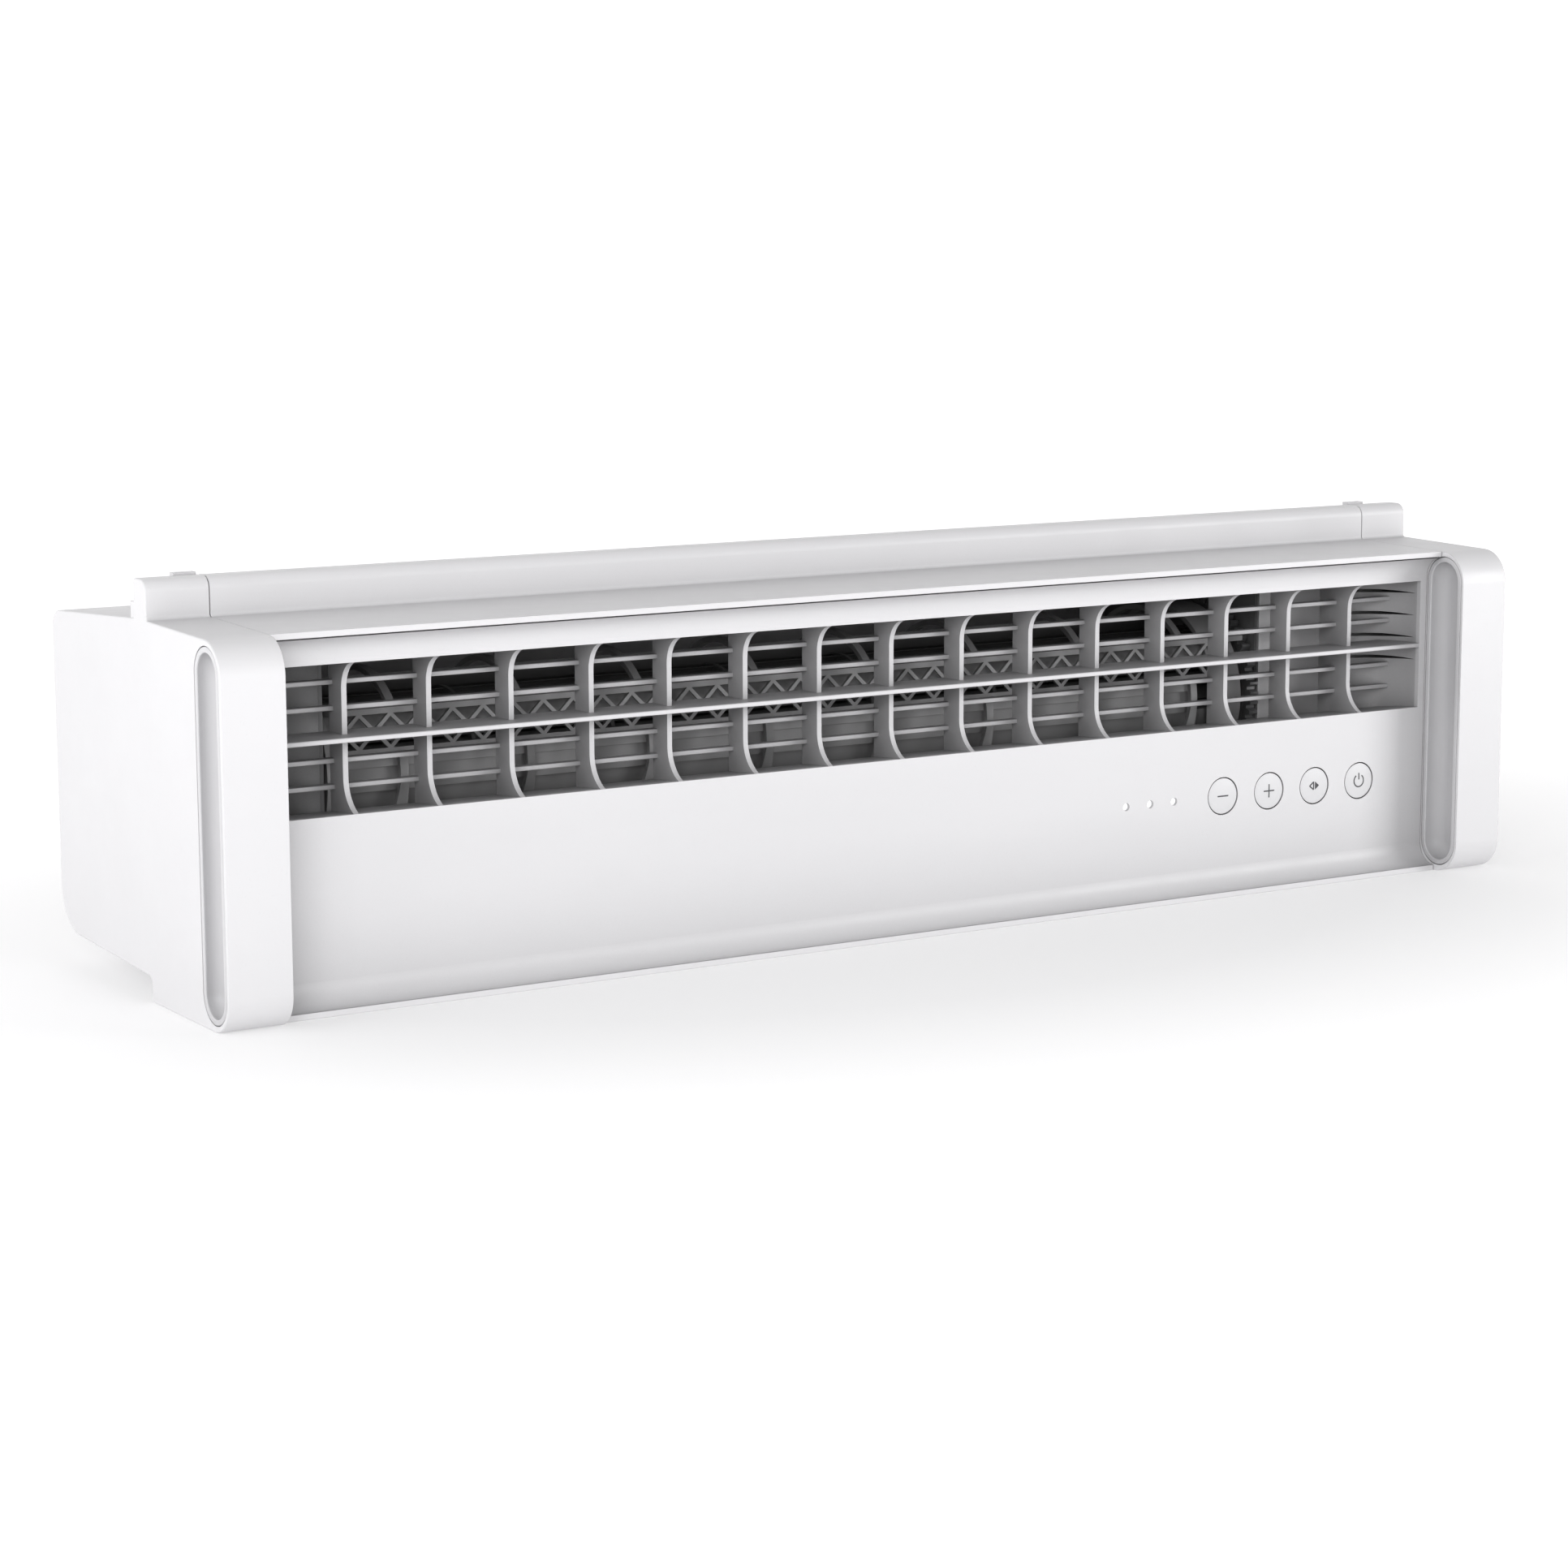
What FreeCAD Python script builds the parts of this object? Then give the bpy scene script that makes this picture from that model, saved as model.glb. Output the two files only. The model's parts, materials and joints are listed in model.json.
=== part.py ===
"""Low-profile reversible window fan: a long shallow body that lies on a window sill under the lowered sash.

A crossflow impeller lies along the body inside a round drum. The drum carries the scroll walls and turns half a
turn to swap the intake and the outlet. A sleeve at each end pulls out to fill the width of the window.

Frame: +X to the right as seen from the room, +Y outdoors, +Z up, millimetres. The origin is the bottom centre of
the whole fan's box. Stations along the body are x. Places across it are given as the depth behind the front
plane and the height above the base, because every wall follows that cross-section.
"""
import FreeCAD, Part
import os
from math import acos, atan2, cos, hypot, pi, radians, sin, tan

# Whole body
WIDTH = 676.0
DEPTH = 181.8
DECK_Z = 157.6
DECK_RISE = 1.9
FLANGE_FRONT = 74.4
FLANGE_BACK = 87.2
FLANGE_Z = 176.1
BACK_DECK_Z = 154.1
STEP_DEPTH = 80.0
STEP_Z = 10.6
BACK_BASE_Z = 14.6
WALL = 2.6
NOSE_RADIUS = 15.0
SEAM = 0.4

# End sleeves and their grips
SLEEVE_WIDTH = 28.0
GRIP_CENTRE = 13.3
GRIP_HALF_WIDTH = 12.0
GRIP_Z = (2.9, 155.6)
GRIP_GAP = 0.25
GRIP_POCKET = 12.0
GRIP_RECESS_HALF_WIDTH = 9.2
GRIP_RECESS_DEPTH = 8.0
SOLID_NOSE = 27.6
SLIDE_GAP = 0.5
EXTENSION_WALL = 2.0
EXTENSION_FRONT = 60.5
EXTENSION_REACH = 38.0
TAB_RISE = 1.0

# Dished front panel
LIP_DEPTH = 15.6
LIP_THICKNESS = 2.7
SEAM_GAP = 0.02
PANEL_DEPTH = 25.5
PANEL_THICKNESS = 2.5
COVE_RADIUS = PANEL_DEPTH - LIP_DEPTH
WINDOW_Z = (80.5, 142.9)

# Front grille
BAY_END = WIDTH / 2 - 32.2
FIN_COUNT = 15
FIN_PITCH = 38.4
FIN_THICKNESS = 2.4
FIN_DEPTH = 35.2
GRILLE_BACK = 47.5
FIN_FOOT_Z = 94.5
FIN_HEAD_Z = 131.0
BAR_Z = 111.2
BAR_THICKNESS = 2.1
SLAT_PITCH = 10.9
SLAT_THICKNESS = 2.1
SLAT_DEPTH = 4.0
FLOOR_DROP = 1.7
GRILLE_PLATE = 1.8
CHEEK_WALL = 1.8
CHEEK_BACK = 56.0
CHEEK_RADIUS = 26.0
LEFT_CHEEK_END = -271.0
RIGHT_CHEEK_END = 229.3
SLOT_HEIGHT = 1.5
SLOT_DROP = 1.9
SLOT_REACH = 20.0

# Controls
BUTTON_Z = 47.0
BUTTON_PITCH = 28.3
LAST_BUTTON_X = 268.7
BUTTON_RADIUS = 8.6
BUTTON_HOLE_RADIUS = 9.15
BUTTON_THICKNESS = 2.4
BUTTON_DOME_RADIUS = 90.0
LAMP_PITCH = BUTTON_PITCH / 2
FIRST_LAMP_X = 126.0
LAMP_RADIUS = 1.9
LAMP_RECESS = 1.5
BOARD_DEPTH = 37.0
BOARD_THICKNESS = 1.6

# Drum, impeller and their shafts
AXIS_DEPTH = 100.0
AXIS_Z = 88.6
LEFT_WALL_X = -268.0
RIGHT_WALL_X = 229.0
BULKHEAD = 2.6
BULKHEAD_FRONT = 58.4
BULKHEAD_TOP = 150.0
HOOP_RADIUS = 43.0
HOOP_INNER_RADIUS = 40.6
HOOP_WIDTH = 3.8
HOOP_COUNT = 8
HOOP_PITCH = 60.3
FIRST_HOOP_X = -231.4
HUB_RADIUS = 14.0
HUB_LENGTH = 5.5
DRUM_BORE = 16.0
END_DISC = 3.0
IMPELLER_RADIUS = 31.0
BLADE_ROOT_RADIUS = 24.5
BLADE_COUNT = 26
BLADE_THICKNESS = 1.1
RING_COUNT = 7
RING_WIDTH = 2.0
SHAFT_RADIUS = 4.0
RUNNING_GAP = 0.05
BEARING_RADIUS = 8.0
COUPLING_RADIUS = 9.0

# Reversing gear
GEAR_MODULE = 1.5
RING_TEETH = 60
PINION_TEETH = 16
PRESSURE_ANGLE = radians(20.0)
ADDENDUM = 0.8
DEDENDUM = 1.1
BACKLASH = 0.3
GEAR_WIDTH = 5.0
PINION_ANGLE = radians(-62.0)
GEAR_DISTANCE = GEAR_MODULE * (RING_TEETH + PINION_TEETH) / 2
PINION_DEPTH = AXIS_DEPTH + GEAR_DISTANCE * cos(PINION_ANGLE)
PINION_Z = AXIS_Z + GEAR_DISTANCE * sin(PINION_ANGLE)
PINION_SHAFT_RADIUS = 2.5

# Fan motor
MOTOR_RADIUS = 27.0
MOTOR_LENGTH = 40.0
MOTOR_WALL = 1.5
STATOR_BORE = 15.6
ROTOR_RADIUS = 15.0


def vector(x, depth, z):
    """Point in the fan's frame for a depth behind the front plane."""
    return FreeCAD.Vector(x, depth - DEPTH / 2, z)


def box(x, depth, z):
    """Box between pairs of x, depth and z."""
    size = (x[1] - x[0], depth[1] - depth[0], z[1] - z[0])
    return Part.makeBox(*size, vector(x[0], depth[0], z[0]))


def disc(x, radius, depth=AXIS_DEPTH, z=AXIS_Z):
    """Cylinder along X between a pair of x."""
    return Part.makeCylinder(radius, x[1] - x[0], vector(x[0], depth, z), FreeCAD.Vector(1, 0, 0))


def ring(x, outer, inner, depth=AXIS_DEPTH, z=AXIS_Z):
    """Tube along X between a pair of x."""
    return disc(x, outer, depth, z).cut(disc(x, inner, depth, z))


def fuse(shapes):
    """One shape from several that touch or overlap."""
    joined = shapes[0].multiFuse(shapes[1:])
    return joined.removeSplitter()


def mirrored(shape):
    """The same piece at the other end of the fan."""
    return shape.mirror(FreeCAD.Vector(0, 0, 0), FreeCAD.Vector(1, 0, 0))


def rounded_wire(corners, place):
    """Closed wire through (u, v, radius) corners, where place turns u and v into a point."""
    points = [place(u, v) for u, v, _ in corners]
    stations = []
    for index, (_, _, radius) in enumerate(corners):
        point = points[index]
        if radius == 0:
            stations.append((point, None, point))
            continue
        before = (points[index - 1] - point).normalize()
        after = (points[(index + 1) % len(points)] - point).normalize()
        half = before.getAngle(after) / 2
        setback = radius / tan(half)
        towards_centre = (before + after).normalize()
        middle = point + towards_centre * (radius / sin(half) - radius)
        stations.append((point + before * setback, middle, point + after * setback))
    edges = []
    for index, (start, middle, end) in enumerate(stations):
        if middle is not None:
            edges.append(Part.Arc(start, middle, end).toShape())
        following = stations[(index + 1) % len(stations)][0]
        if end.distanceToPoint(following) > 1e-6:
            edges.append(Part.LineSegment(end, following).toShape())
    return Part.Wire(edges)


def section(corners, x):
    """Prism along X whose cross-section has (depth, z, radius) corners."""
    face = Part.Face(rounded_wire(corners, lambda depth, z: vector(x[0], depth, z)))
    return face.extrude(FreeCAD.Vector(x[1] - x[0], 0, 0))


def plan(corners, z):
    """Prism along Z whose plan has (x, depth, radius) corners."""
    face = Part.Face(rounded_wire(corners, lambda x_at, depth: vector(x_at, depth, z[0])))
    return face.extrude(FreeCAD.Vector(0, 0, z[1] - z[0]))


def body_section(x, inset=0.0):
    """Prism of the fan's whole cross-section, or of one that lies inset inside it."""
    corners = [
        (0.0, 0.0, NOSE_RADIUS),
        (0.0, DECK_Z, NOSE_RADIUS),
        (FLANGE_FRONT, DECK_Z + DECK_RISE, 1.5),
        (FLANGE_FRONT, FLANGE_Z, 5.0),
        (FLANGE_BACK, FLANGE_Z, 2.0),
        (FLANGE_BACK, DECK_Z + DECK_RISE, 1.5),
        (DEPTH, BACK_DECK_Z, 8.0),
        (DEPTH, BACK_BASE_Z, 20.0),
        (STEP_DEPTH, STEP_Z, 3.0),
        (STEP_DEPTH, 0.0, 1.5),
    ]
    face = Part.Face(rounded_wire(corners, lambda depth, z: vector(x[0], depth, z)))
    if inset:
        face = face.makeOffset2D(-inset)
    return face.extrude(FreeCAD.Vector(x[1] - x[0], 0, 0))


def stadium(x, half_width, margin):
    """Upright round-ended prism on the grip's centre, margin inside the grip's top and bottom."""
    left, right = GRIP_CENTRE - half_width, GRIP_CENTRE + half_width
    low, high = GRIP_Z[0] + margin, GRIP_Z[1] - margin
    corners = [(left, low), (left, high), (right, high), (right, low)]
    return section([(depth, z, half_width) for depth, z in corners], x)


# ---------------------------------------------------------------- end sleeves

OUTER_X = -WIDTH / 2
INNER_X = OUTER_X + SLEEVE_WIDTH


def sleeve():
    """Left end sleeve: a hollow cap with the whole cross-section, a flange end and a pocket on each face."""
    cap = body_section((OUTER_X, INNER_X))
    rim = [edge for edge in cap.Edges if abs(edge.BoundBox.XMax - OUTER_X) < 1e-3]
    cap = cap.makeFillet(0.8, rim)
    behind_nose = box((OUTER_X + WALL, INNER_X + 1), (SOLID_NOSE, DEPTH), (-1, FLANGE_Z + 1))
    hollow = body_section((OUTER_X + WALL, INNER_X + 1), WALL).common(behind_nose)
    depth, height = (FLANGE_BACK - 1, FLANGE_BACK + 4.5), (DECK_Z - 1, DECK_Z + 8.6)
    gusset = box((OUTER_X + 0.6, OUTER_X + 3.4), depth, height)
    tab = box((INNER_X - 10.5, INNER_X - 0.6), (FLANGE_BACK - 1, FLANGE_BACK + 3), (162.0, FLANGE_Z + TAB_RISE))
    pockets = [
        stadium((OUTER_X - 1, OUTER_X + GRIP_POCKET), GRIP_HALF_WIDTH, 0),
        stadium((INNER_X - GRIP_POCKET, INNER_X + 1), GRIP_HALF_WIDTH, 0),
    ]
    cap = fuse([cap, gusset, tab]).cut(hollow)
    return cap.cut(Part.makeCompound(pockets))


def grip(face_x, inward):
    """Pill-shaped insert with a rounded finger channel. inward is +1 or -1, away from the open face."""
    bottom = face_x + inward * (GRIP_POCKET - 0.2)
    floor = face_x + inward * GRIP_RECESS_DEPTH
    insert = stadium(tuple(sorted((face_x, bottom))), GRIP_HALF_WIDTH - GRIP_GAP, GRIP_GAP)
    margin = GRIP_HALF_WIDTH - GRIP_RECESS_HALF_WIDTH
    mouth = face_x - inward
    channel = stadium(tuple(sorted((mouth, floor))), GRIP_RECESS_HALF_WIDTH, margin)
    floor_edges = [edge for edge in channel.Edges if on_plane(edge, floor)]
    channel = channel.makeFillet(GRIP_RECESS_DEPTH * 0.8, floor_edges)
    insert = insert.cut(channel)
    lip_edges = [edge for edge in insert.Edges if on_plane(edge, face_x)]
    return insert.makeFillet(0.5, lip_edges)


def on_plane(edge, x):
    """Whether an edge lies wholly on a plane of constant x."""
    bounds = edge.BoundBox
    return abs(bounds.XMin - x) < 1e-3 and abs(bounds.XMax - x) < 1e-3


def extension():
    """Left extension: the hollow liner that the sleeve pulls out of the body, with guide plates above and below."""
    reach = (OUTER_X + WALL, INNER_X + EXTENSION_REACH)
    long = (reach[0] - 1, reach[1] + 1)
    outside = body_section(reach, WALL + SLIDE_GAP)
    outside = outside.common(box(long, (EXTENSION_FRONT, DEPTH), (-1, FLANGE_Z)))
    inside = body_section(long, WALL + SLIDE_GAP + EXTENSION_WALL)
    inside = inside.common(box(long, (EXTENSION_FRONT + EXTENSION_WALL, DEPTH), (-1, FLANGE_Z)))
    top_plate = box(reach, (31.0, EXTENSION_FRONT + 1), (152.4, 152.4 + EXTENSION_WALL))
    bottom_plate = box(reach, (31.0, EXTENSION_FRONT + 1), (3.6, 3.6 + EXTENSION_WALL))
    return fuse([outside.cut(inside), top_plate, bottom_plate])


# ---------------------------------------------------------------- body shells

BODY_X = (INNER_X + SEAM, -INNER_X - SEAM)
TOP_SPLIT_Z = 140.0
BASE_SPLIT_Z = 34.0
BOARD_X = (82.0, 202.0)
BOARD_LEVEL = 8.0
GLAND_X = 257.0
GLAND_AT = 50.0
GLAND_RADIUS = 6.0
CORD_BORE = 3.3
CHANNEL_HALF_WIDTH = 10.0
CHANNEL_HEIGHT = 8.0
CHANNEL_WALL = 2.0
FOOT = 12.0
FRONT_FOOT_DEPTH = 62.0
BACK_FOOT_DEPTH = 150.0
SCREW_RADIUS = 1.6
SCREW_HEAD_RADIUS = 3.2
SCREW_HEAD = 2.0
SCREW_LENGTH = 12.0


def shell():
    """The body's wall all round, before it is divided into its covers."""
    return body_section(BODY_X).cut(body_section((BODY_X[0] - 1, BODY_X[1] + 1), WALL))


def wide(depth, z):
    """Box over the body's whole length, for dividing the shell."""
    return box((BODY_X[0] - 2, BODY_X[1] + 2), depth, z)


def top_cover(walls):
    """Upper cover: the deck with its thin front lip, the sash flange and the top of the back."""
    cover = walls.common(wide((LIP_DEPTH - 0.2, DEPTH + 1), (TOP_SPLIT_Z, FLANGE_Z + 1)))
    return cover.common(wide((0, DEPTH + 1), (DECK_Z - LIP_THICKNESS, FLANGE_Z + 1)).fuse(
        wide((FLANGE_FRONT, DEPTH + 1), (TOP_SPLIT_Z, FLANGE_Z + 1))))


def foot_places():
    """Places of the four screws that hold the bulkheads down: x, depth and the tray's lower surface there."""
    places = []
    for foot_x in (LEFT_WALL_X + FOOT / 2, RIGHT_WALL_X + BULKHEAD + FOOT / 2):
        places.append((foot_x, FRONT_FOOT_DEPTH + FOOT / 2, 0.0))
        depth = BACK_FOOT_DEPTH + FOOT / 2
        rise = (BACK_BASE_Z - STEP_Z) * (depth - STEP_DEPTH) / (DEPTH - STEP_DEPTH)
        places.append((foot_x, depth, STEP_Z + rise))
    return places


def upright(x, depth, z, radius):
    """Cylinder along Z between a pair of z."""
    return Part.makeCylinder(radius, z[1] - z[0], vector(x, depth, z[0]), FreeCAD.Vector(0, 0, 1))


def base_tray(walls):
    """Lower cover: the front foot, the step over the sill and the floor, with bosses for screws and the board."""
    tray = walls.common(wide((LIP_DEPTH - 0.2, DEPTH + 1), (-1, BASE_SPLIT_Z)))
    tray = tray.common(wide((0, STEP_DEPTH + 10), (-1, STEP_Z + WALL + 2)).fuse(
        wide((STEP_DEPTH, DEPTH + 1), (-1, BASE_SPLIT_Z))))
    tray = tray.cut(wide((0, LIP_DEPTH + COVE_RADIUS), (LIP_THICKNESS, BASE_SPLIT_Z)))
    bosses = []
    for x, depth, floor in foot_places():
        bosses.append(upright(x, depth, (floor + 0.5, floor + 6.0), 5.5))
    for x in (BOARD_X[0] + 6, BOARD_X[1] - 6):
        for depth in (40.0, 70.0):
            bosses.append(upright(x, depth, (WALL - 0.5, BOARD_LEVEL), 3.0))
    half, top = CHANNEL_HALF_WIDTH, CHANNEL_HEIGHT
    front = GLAND_AT - half
    channel = box((GLAND_X - half, GLAND_X + half), (front, STEP_DEPTH + 1), (-1, top))
    half += CHANNEL_WALL
    span = (GLAND_X - half, GLAND_X + half)
    roof = box(span, (front - CHANNEL_WALL, STEP_DEPTH - 0.5), (0.5, top + CHANNEL_WALL))
    tray = fuse([tray, roof] + bosses).cut(channel)
    cuts = [upright(GLAND_X, GLAND_AT, (0, 12), GLAND_RADIUS)]
    for x, depth, floor in foot_places():
        cuts.append(upright(x, depth, (floor - 1, floor + SCREW_HEAD + 0.6), SCREW_HEAD_RADIUS + 0.4))
        cuts.append(upright(x, depth, (floor - 1, floor + 8), SCREW_RADIUS))
    return tray.cut(Part.makeCompound(cuts))


def case_screws():
    """Four pan-head screws up through the tray into the bulkheads' feet."""
    screws = []
    for x, depth, floor in foot_places():
        seat = floor + SCREW_HEAD + 0.6
        head = upright(x, depth, (floor + 0.6, seat), SCREW_HEAD_RADIUS)
        shank = upright(x, depth, (seat, seat + SCREW_LENGTH), SCREW_RADIUS)
        drive = upright(x, depth, (floor, floor + 1.6), 1.2)
        screws.append(head.fuse(shank).cut(drive))
    return Part.makeCompound(screws)


def cord_gland():
    """Rubber bush that the supply cord enters through, in the cord channel under the front foot."""
    roof = (CHANNEL_HEIGHT, CHANNEL_HEIGHT + CHANNEL_WALL)
    flange = upright(GLAND_X, GLAND_AT, (roof[0] - 1.4, roof[0]), 8.0)
    barrel = upright(GLAND_X, GLAND_AT, roof, GLAND_RADIUS)
    collar = upright(GLAND_X, GLAND_AT, (roof[1], roof[1] + 1.6), 7.6)
    bore = upright(GLAND_X, GLAND_AT, (0, 20), CORD_BORE)
    return fuse([flange, barrel, collar]).cut(bore)


REAR_WINDOW_X = (-266.0, 226.0)
REAR_WINDOW_Z = (38.0, 2 * AXIS_Z - WINDOW_Z[0])
REAR_SLAT_PITCH = 9.6


def rear_grille(walls):
    """Back cover with sloping louvres that shed rain, between upright ribs."""
    cover = walls.common(wide((DEPTH - WALL - 0.01, DEPTH + 1), (BASE_SPLIT_Z, TOP_SPLIT_Z)))
    cover = cover.cut(box(REAR_WINDOW_X, (DEPTH - 10, DEPTH + 1), REAR_WINDOW_Z))
    pieces = [cover]
    rib_count = round((REAR_WINDOW_X[1] - REAR_WINDOW_X[0]) / FIN_PITCH)
    pitch = (REAR_WINDOW_X[1] - REAR_WINDOW_X[0]) / rib_count
    for index in range(1, rib_count):
        x = REAR_WINDOW_X[0] + index * pitch
        pieces.append(box((x - 1.2, x + 1.2), (DEPTH - 9, DEPTH), (REAR_WINDOW_Z[0] - 1, REAR_WINDOW_Z[1] + 1)))
    slat_count = int((REAR_WINDOW_Z[1] - REAR_WINDOW_Z[0]) / REAR_SLAT_PITCH)
    for index in range(slat_count):
        z = REAR_WINDOW_Z[0] + (index + 0.5) * REAR_SLAT_PITCH
        corners = [
            (DEPTH - 8.5, z + 5.4, 0),
            (DEPTH - 8.5, z + 7.2, 0),
            (DEPTH - 0.4, z + 1.8, 0),
            (DEPTH - 0.4, z, 0),
        ]
        pieces.append(section(corners, (REAR_WINDOW_X[0] - 1, REAR_WINDOW_X[1] + 1)))
    return fuse(pieces)


def front_panel():
    """Dished front: a cove under the deck lip, the grille window, the control panel and a cove above the base."""
    low = LIP_THICKNESS + SEAM_GAP
    high = DECK_Z - LIP_THICKNESS - SEAM_GAP
    back = PANEL_DEPTH + PANEL_THICKNESS
    turn = COVE_RADIUS * (1 - cos(pi / 4))
    x = BODY_X[0]
    top_cove = Part.Arc(
        vector(x, LIP_DEPTH, high),
        vector(x, PANEL_DEPTH - turn, high - turn),
        vector(x, PANEL_DEPTH, high - COVE_RADIUS))
    base_cove = Part.Arc(
        vector(x, PANEL_DEPTH, low + COVE_RADIUS),
        vector(x, PANEL_DEPTH - turn, low + turn),
        vector(x, LIP_DEPTH, low))
    straight = [
        Part.LineSegment(vector(x, PANEL_DEPTH, high - COVE_RADIUS), vector(x, PANEL_DEPTH, low + COVE_RADIUS)),
        Part.LineSegment(vector(x, LIP_DEPTH, low), vector(x, back, low)),
        Part.LineSegment(vector(x, back, low), vector(x, back, high)),
        Part.LineSegment(vector(x, back, high), vector(x, LIP_DEPTH, high)),
    ]
    edges = [top_cove, straight[0], base_cove] + straight[1:]
    face = Part.Face(Part.Wire([edge.toShape() for edge in edges]))
    panel = face.extrude(FreeCAD.Vector(BODY_X[1] - BODY_X[0], 0, 0))
    cuts = [box((-BAY_END, BAY_END), (0, 40), WINDOW_Z)]
    for x in button_places():
        cuts.append(through_panel(x, BUTTON_HOLE_RADIUS))
    for x in lamp_places():
        cuts.append(through_panel(x, LAMP_RADIUS))
    return panel.cut(Part.makeCompound(cuts))


def through_panel(x, radius, depth=(PANEL_DEPTH - 2, PANEL_DEPTH + 6)):
    """Cylinder along Y at the controls' height, between a pair of depths."""
    return Part.makeCylinder(radius, depth[1] - depth[0], vector(x, depth[0], BUTTON_Z), FreeCAD.Vector(0, 1, 0))


def button_places():
    """x of the four buttons, from left to right."""
    return [LAST_BUTTON_X - BUTTON_PITCH * index for index in (3, 2, 1, 0)]


def lamp_places():
    """x of the three indicator lamps, from left to right."""
    return [FIRST_LAMP_X + LAMP_PITCH * index for index in range(3)]


# ---------------------------------------------------------------- front grille

def fin_places():
    """x of the upright fins."""
    return [FIN_PITCH * (index - (FIN_COUNT - 1) / 2) for index in range(FIN_COUNT)]


def fin(x):
    """Upright fin whose front edge sweeps forward to the panel at its foot and its head."""
    low, high = WINDOW_Z
    back = PANEL_DEPTH + PANEL_THICKNESS

    def place(depth, z):
        return vector(x - FIN_THICKNESS / 2, depth, z)

    foot = swept_edge(place, (PANEL_DEPTH + 0.1, low), (FIN_DEPTH, FIN_FOOT_Z))
    head = swept_edge(place, (PANEL_DEPTH + 0.4, high), (FIN_DEPTH, FIN_HEAD_Z))
    edges = [
        foot,
        Part.LineSegment(place(FIN_DEPTH, FIN_FOOT_Z), place(FIN_DEPTH, FIN_HEAD_Z)),
        head,
        Part.LineSegment(place(PANEL_DEPTH + 0.4, high), place(GRILLE_BACK, high)),
        Part.LineSegment(place(GRILLE_BACK, high), place(GRILLE_BACK, low - FLOOR_DROP)),
        Part.LineSegment(place(GRILLE_BACK, low - FLOOR_DROP), place(back, low)),
        Part.LineSegment(place(back, low), place(PANEL_DEPTH + 0.1, low)),
    ]
    face = Part.Face(Part.Wire(Part.sortEdges([edge.toShape() for edge in edges])[0]))
    return face.extrude(FreeCAD.Vector(FIN_THICKNESS, 0, 0))


def swept_edge(place, start, end):
    """Arc from start that arrives upright at end, both (depth, z)."""
    across = end[0] - start[0]
    along = end[1] - start[1]
    radius = (across ** 2 + along ** 2) / (2 * across)
    centre = (end[0] - radius, end[1])
    half = atan2(start[1] - centre[1], start[0] - centre[0]) / 2
    middle = (centre[0] + radius * cos(half), centre[1] + radius * sin(half))
    return Part.Arc(place(*start), place(*middle), place(*end))


def front_grille():
    """Fins, the middle bar, four slats and the window's floor and ceiling, moulded as one."""
    low, high = WINDOW_Z
    x = (-BAY_END, BAY_END)
    back = PANEL_DEPTH + PANEL_THICKNESS
    floor_back = low - FLOOR_DROP
    floor = section([
        (back, low, 0),
        (GRILLE_BACK, floor_back, 0),
        (GRILLE_BACK, floor_back - GRILLE_PLATE, 0),
        (back, low - GRILLE_PLATE, 0),
    ], x)
    ceiling = box(x, (back, GRILLE_BACK), (high, high + GRILLE_PLATE))
    bar = section([
        (PANEL_DEPTH, BAR_Z - BAR_THICKNESS / 2, 0.6),
        (PANEL_DEPTH, BAR_Z + BAR_THICKNESS / 2, 0.6),
        (GRILLE_BACK, BAR_Z + BAR_THICKNESS / 2, 0),
        (GRILLE_BACK, BAR_Z - BAR_THICKNESS / 2, 0),
    ], x)
    slats = []
    for step in (-2, -1, 1, 2):
        z = BAR_Z + step * SLAT_PITCH
        slats.append(section([
            (GRILLE_BACK - SLAT_DEPTH, z - SLAT_THICKNESS / 2, 0.5),
            (GRILLE_BACK - SLAT_DEPTH, z + SLAT_THICKNESS / 2, 0.5),
            (GRILLE_BACK, z + SLAT_THICKNESS / 2, 0),
            (GRILLE_BACK, z - SLAT_THICKNESS / 2, 0),
        ], x))
    fins = [fin(x_at) for x_at in fin_places()]
    bay = plan([
        (-BAY_END, 0, 0),
        (-BAY_END, CHEEK_BACK, CHEEK_RADIUS),
        (BAY_END, CHEEK_BACK, CHEEK_RADIUS),
        (BAY_END, 0, 0),
    ], (0, FLANGE_Z))
    return fuse([floor, ceiling, bar] + slats + fins).common(bay)


def cheek(end_x):
    """Left end of the grille bay: a side wall that turns into a back wall reaching end_x, with four air slots."""
    low = WINDOW_Z[0] - FLOOR_DROP - GRILLE_PLATE
    high = WINDOW_Z[1] + GRILLE_PLATE
    front = PANEL_DEPTH + PANEL_THICKNESS
    back = CHEEK_BACK + CHEEK_WALL
    wall = plan([
        (-BAY_END - CHEEK_WALL, front, 0),
        (-BAY_END - CHEEK_WALL, back, CHEEK_RADIUS + CHEEK_WALL),
        (end_x, back, 0),
        (end_x, CHEEK_BACK, 0),
        (-BAY_END, CHEEK_BACK, CHEEK_RADIUS),
        (-BAY_END, front, 0),
    ], (low, high))
    webs = []
    for x in fin_places():
        if x + FIN_THICKNESS < end_x:
            webs.append(box((x - FIN_THICKNESS / 2, x + FIN_THICKNESS / 2), (GRILLE_BACK, back - 0.1), (low, high)))
    cuts = []
    slot_x = (-BAY_END - CHEEK_WALL - 1, -BAY_END + SLOT_REACH)
    for step in (-0.5, 0.5, 1.5, 2.5):
        z = BAR_Z + step * SLAT_PITCH - SLOT_DROP
        cuts.append(section([
            (front + 1.0, z, 0),
            (GRILLE_BACK, z + SLOT_HEIGHT / 2, 0),
            (back + 1, z + SLOT_HEIGHT / 2, 0),
            (back + 1, z - SLOT_HEIGHT / 2, 0),
            (GRILLE_BACK, z - SLOT_HEIGHT / 2, 0),
        ], slot_x))
    return fuse([wall] + webs).cut(Part.makeCompound(cuts))


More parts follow.
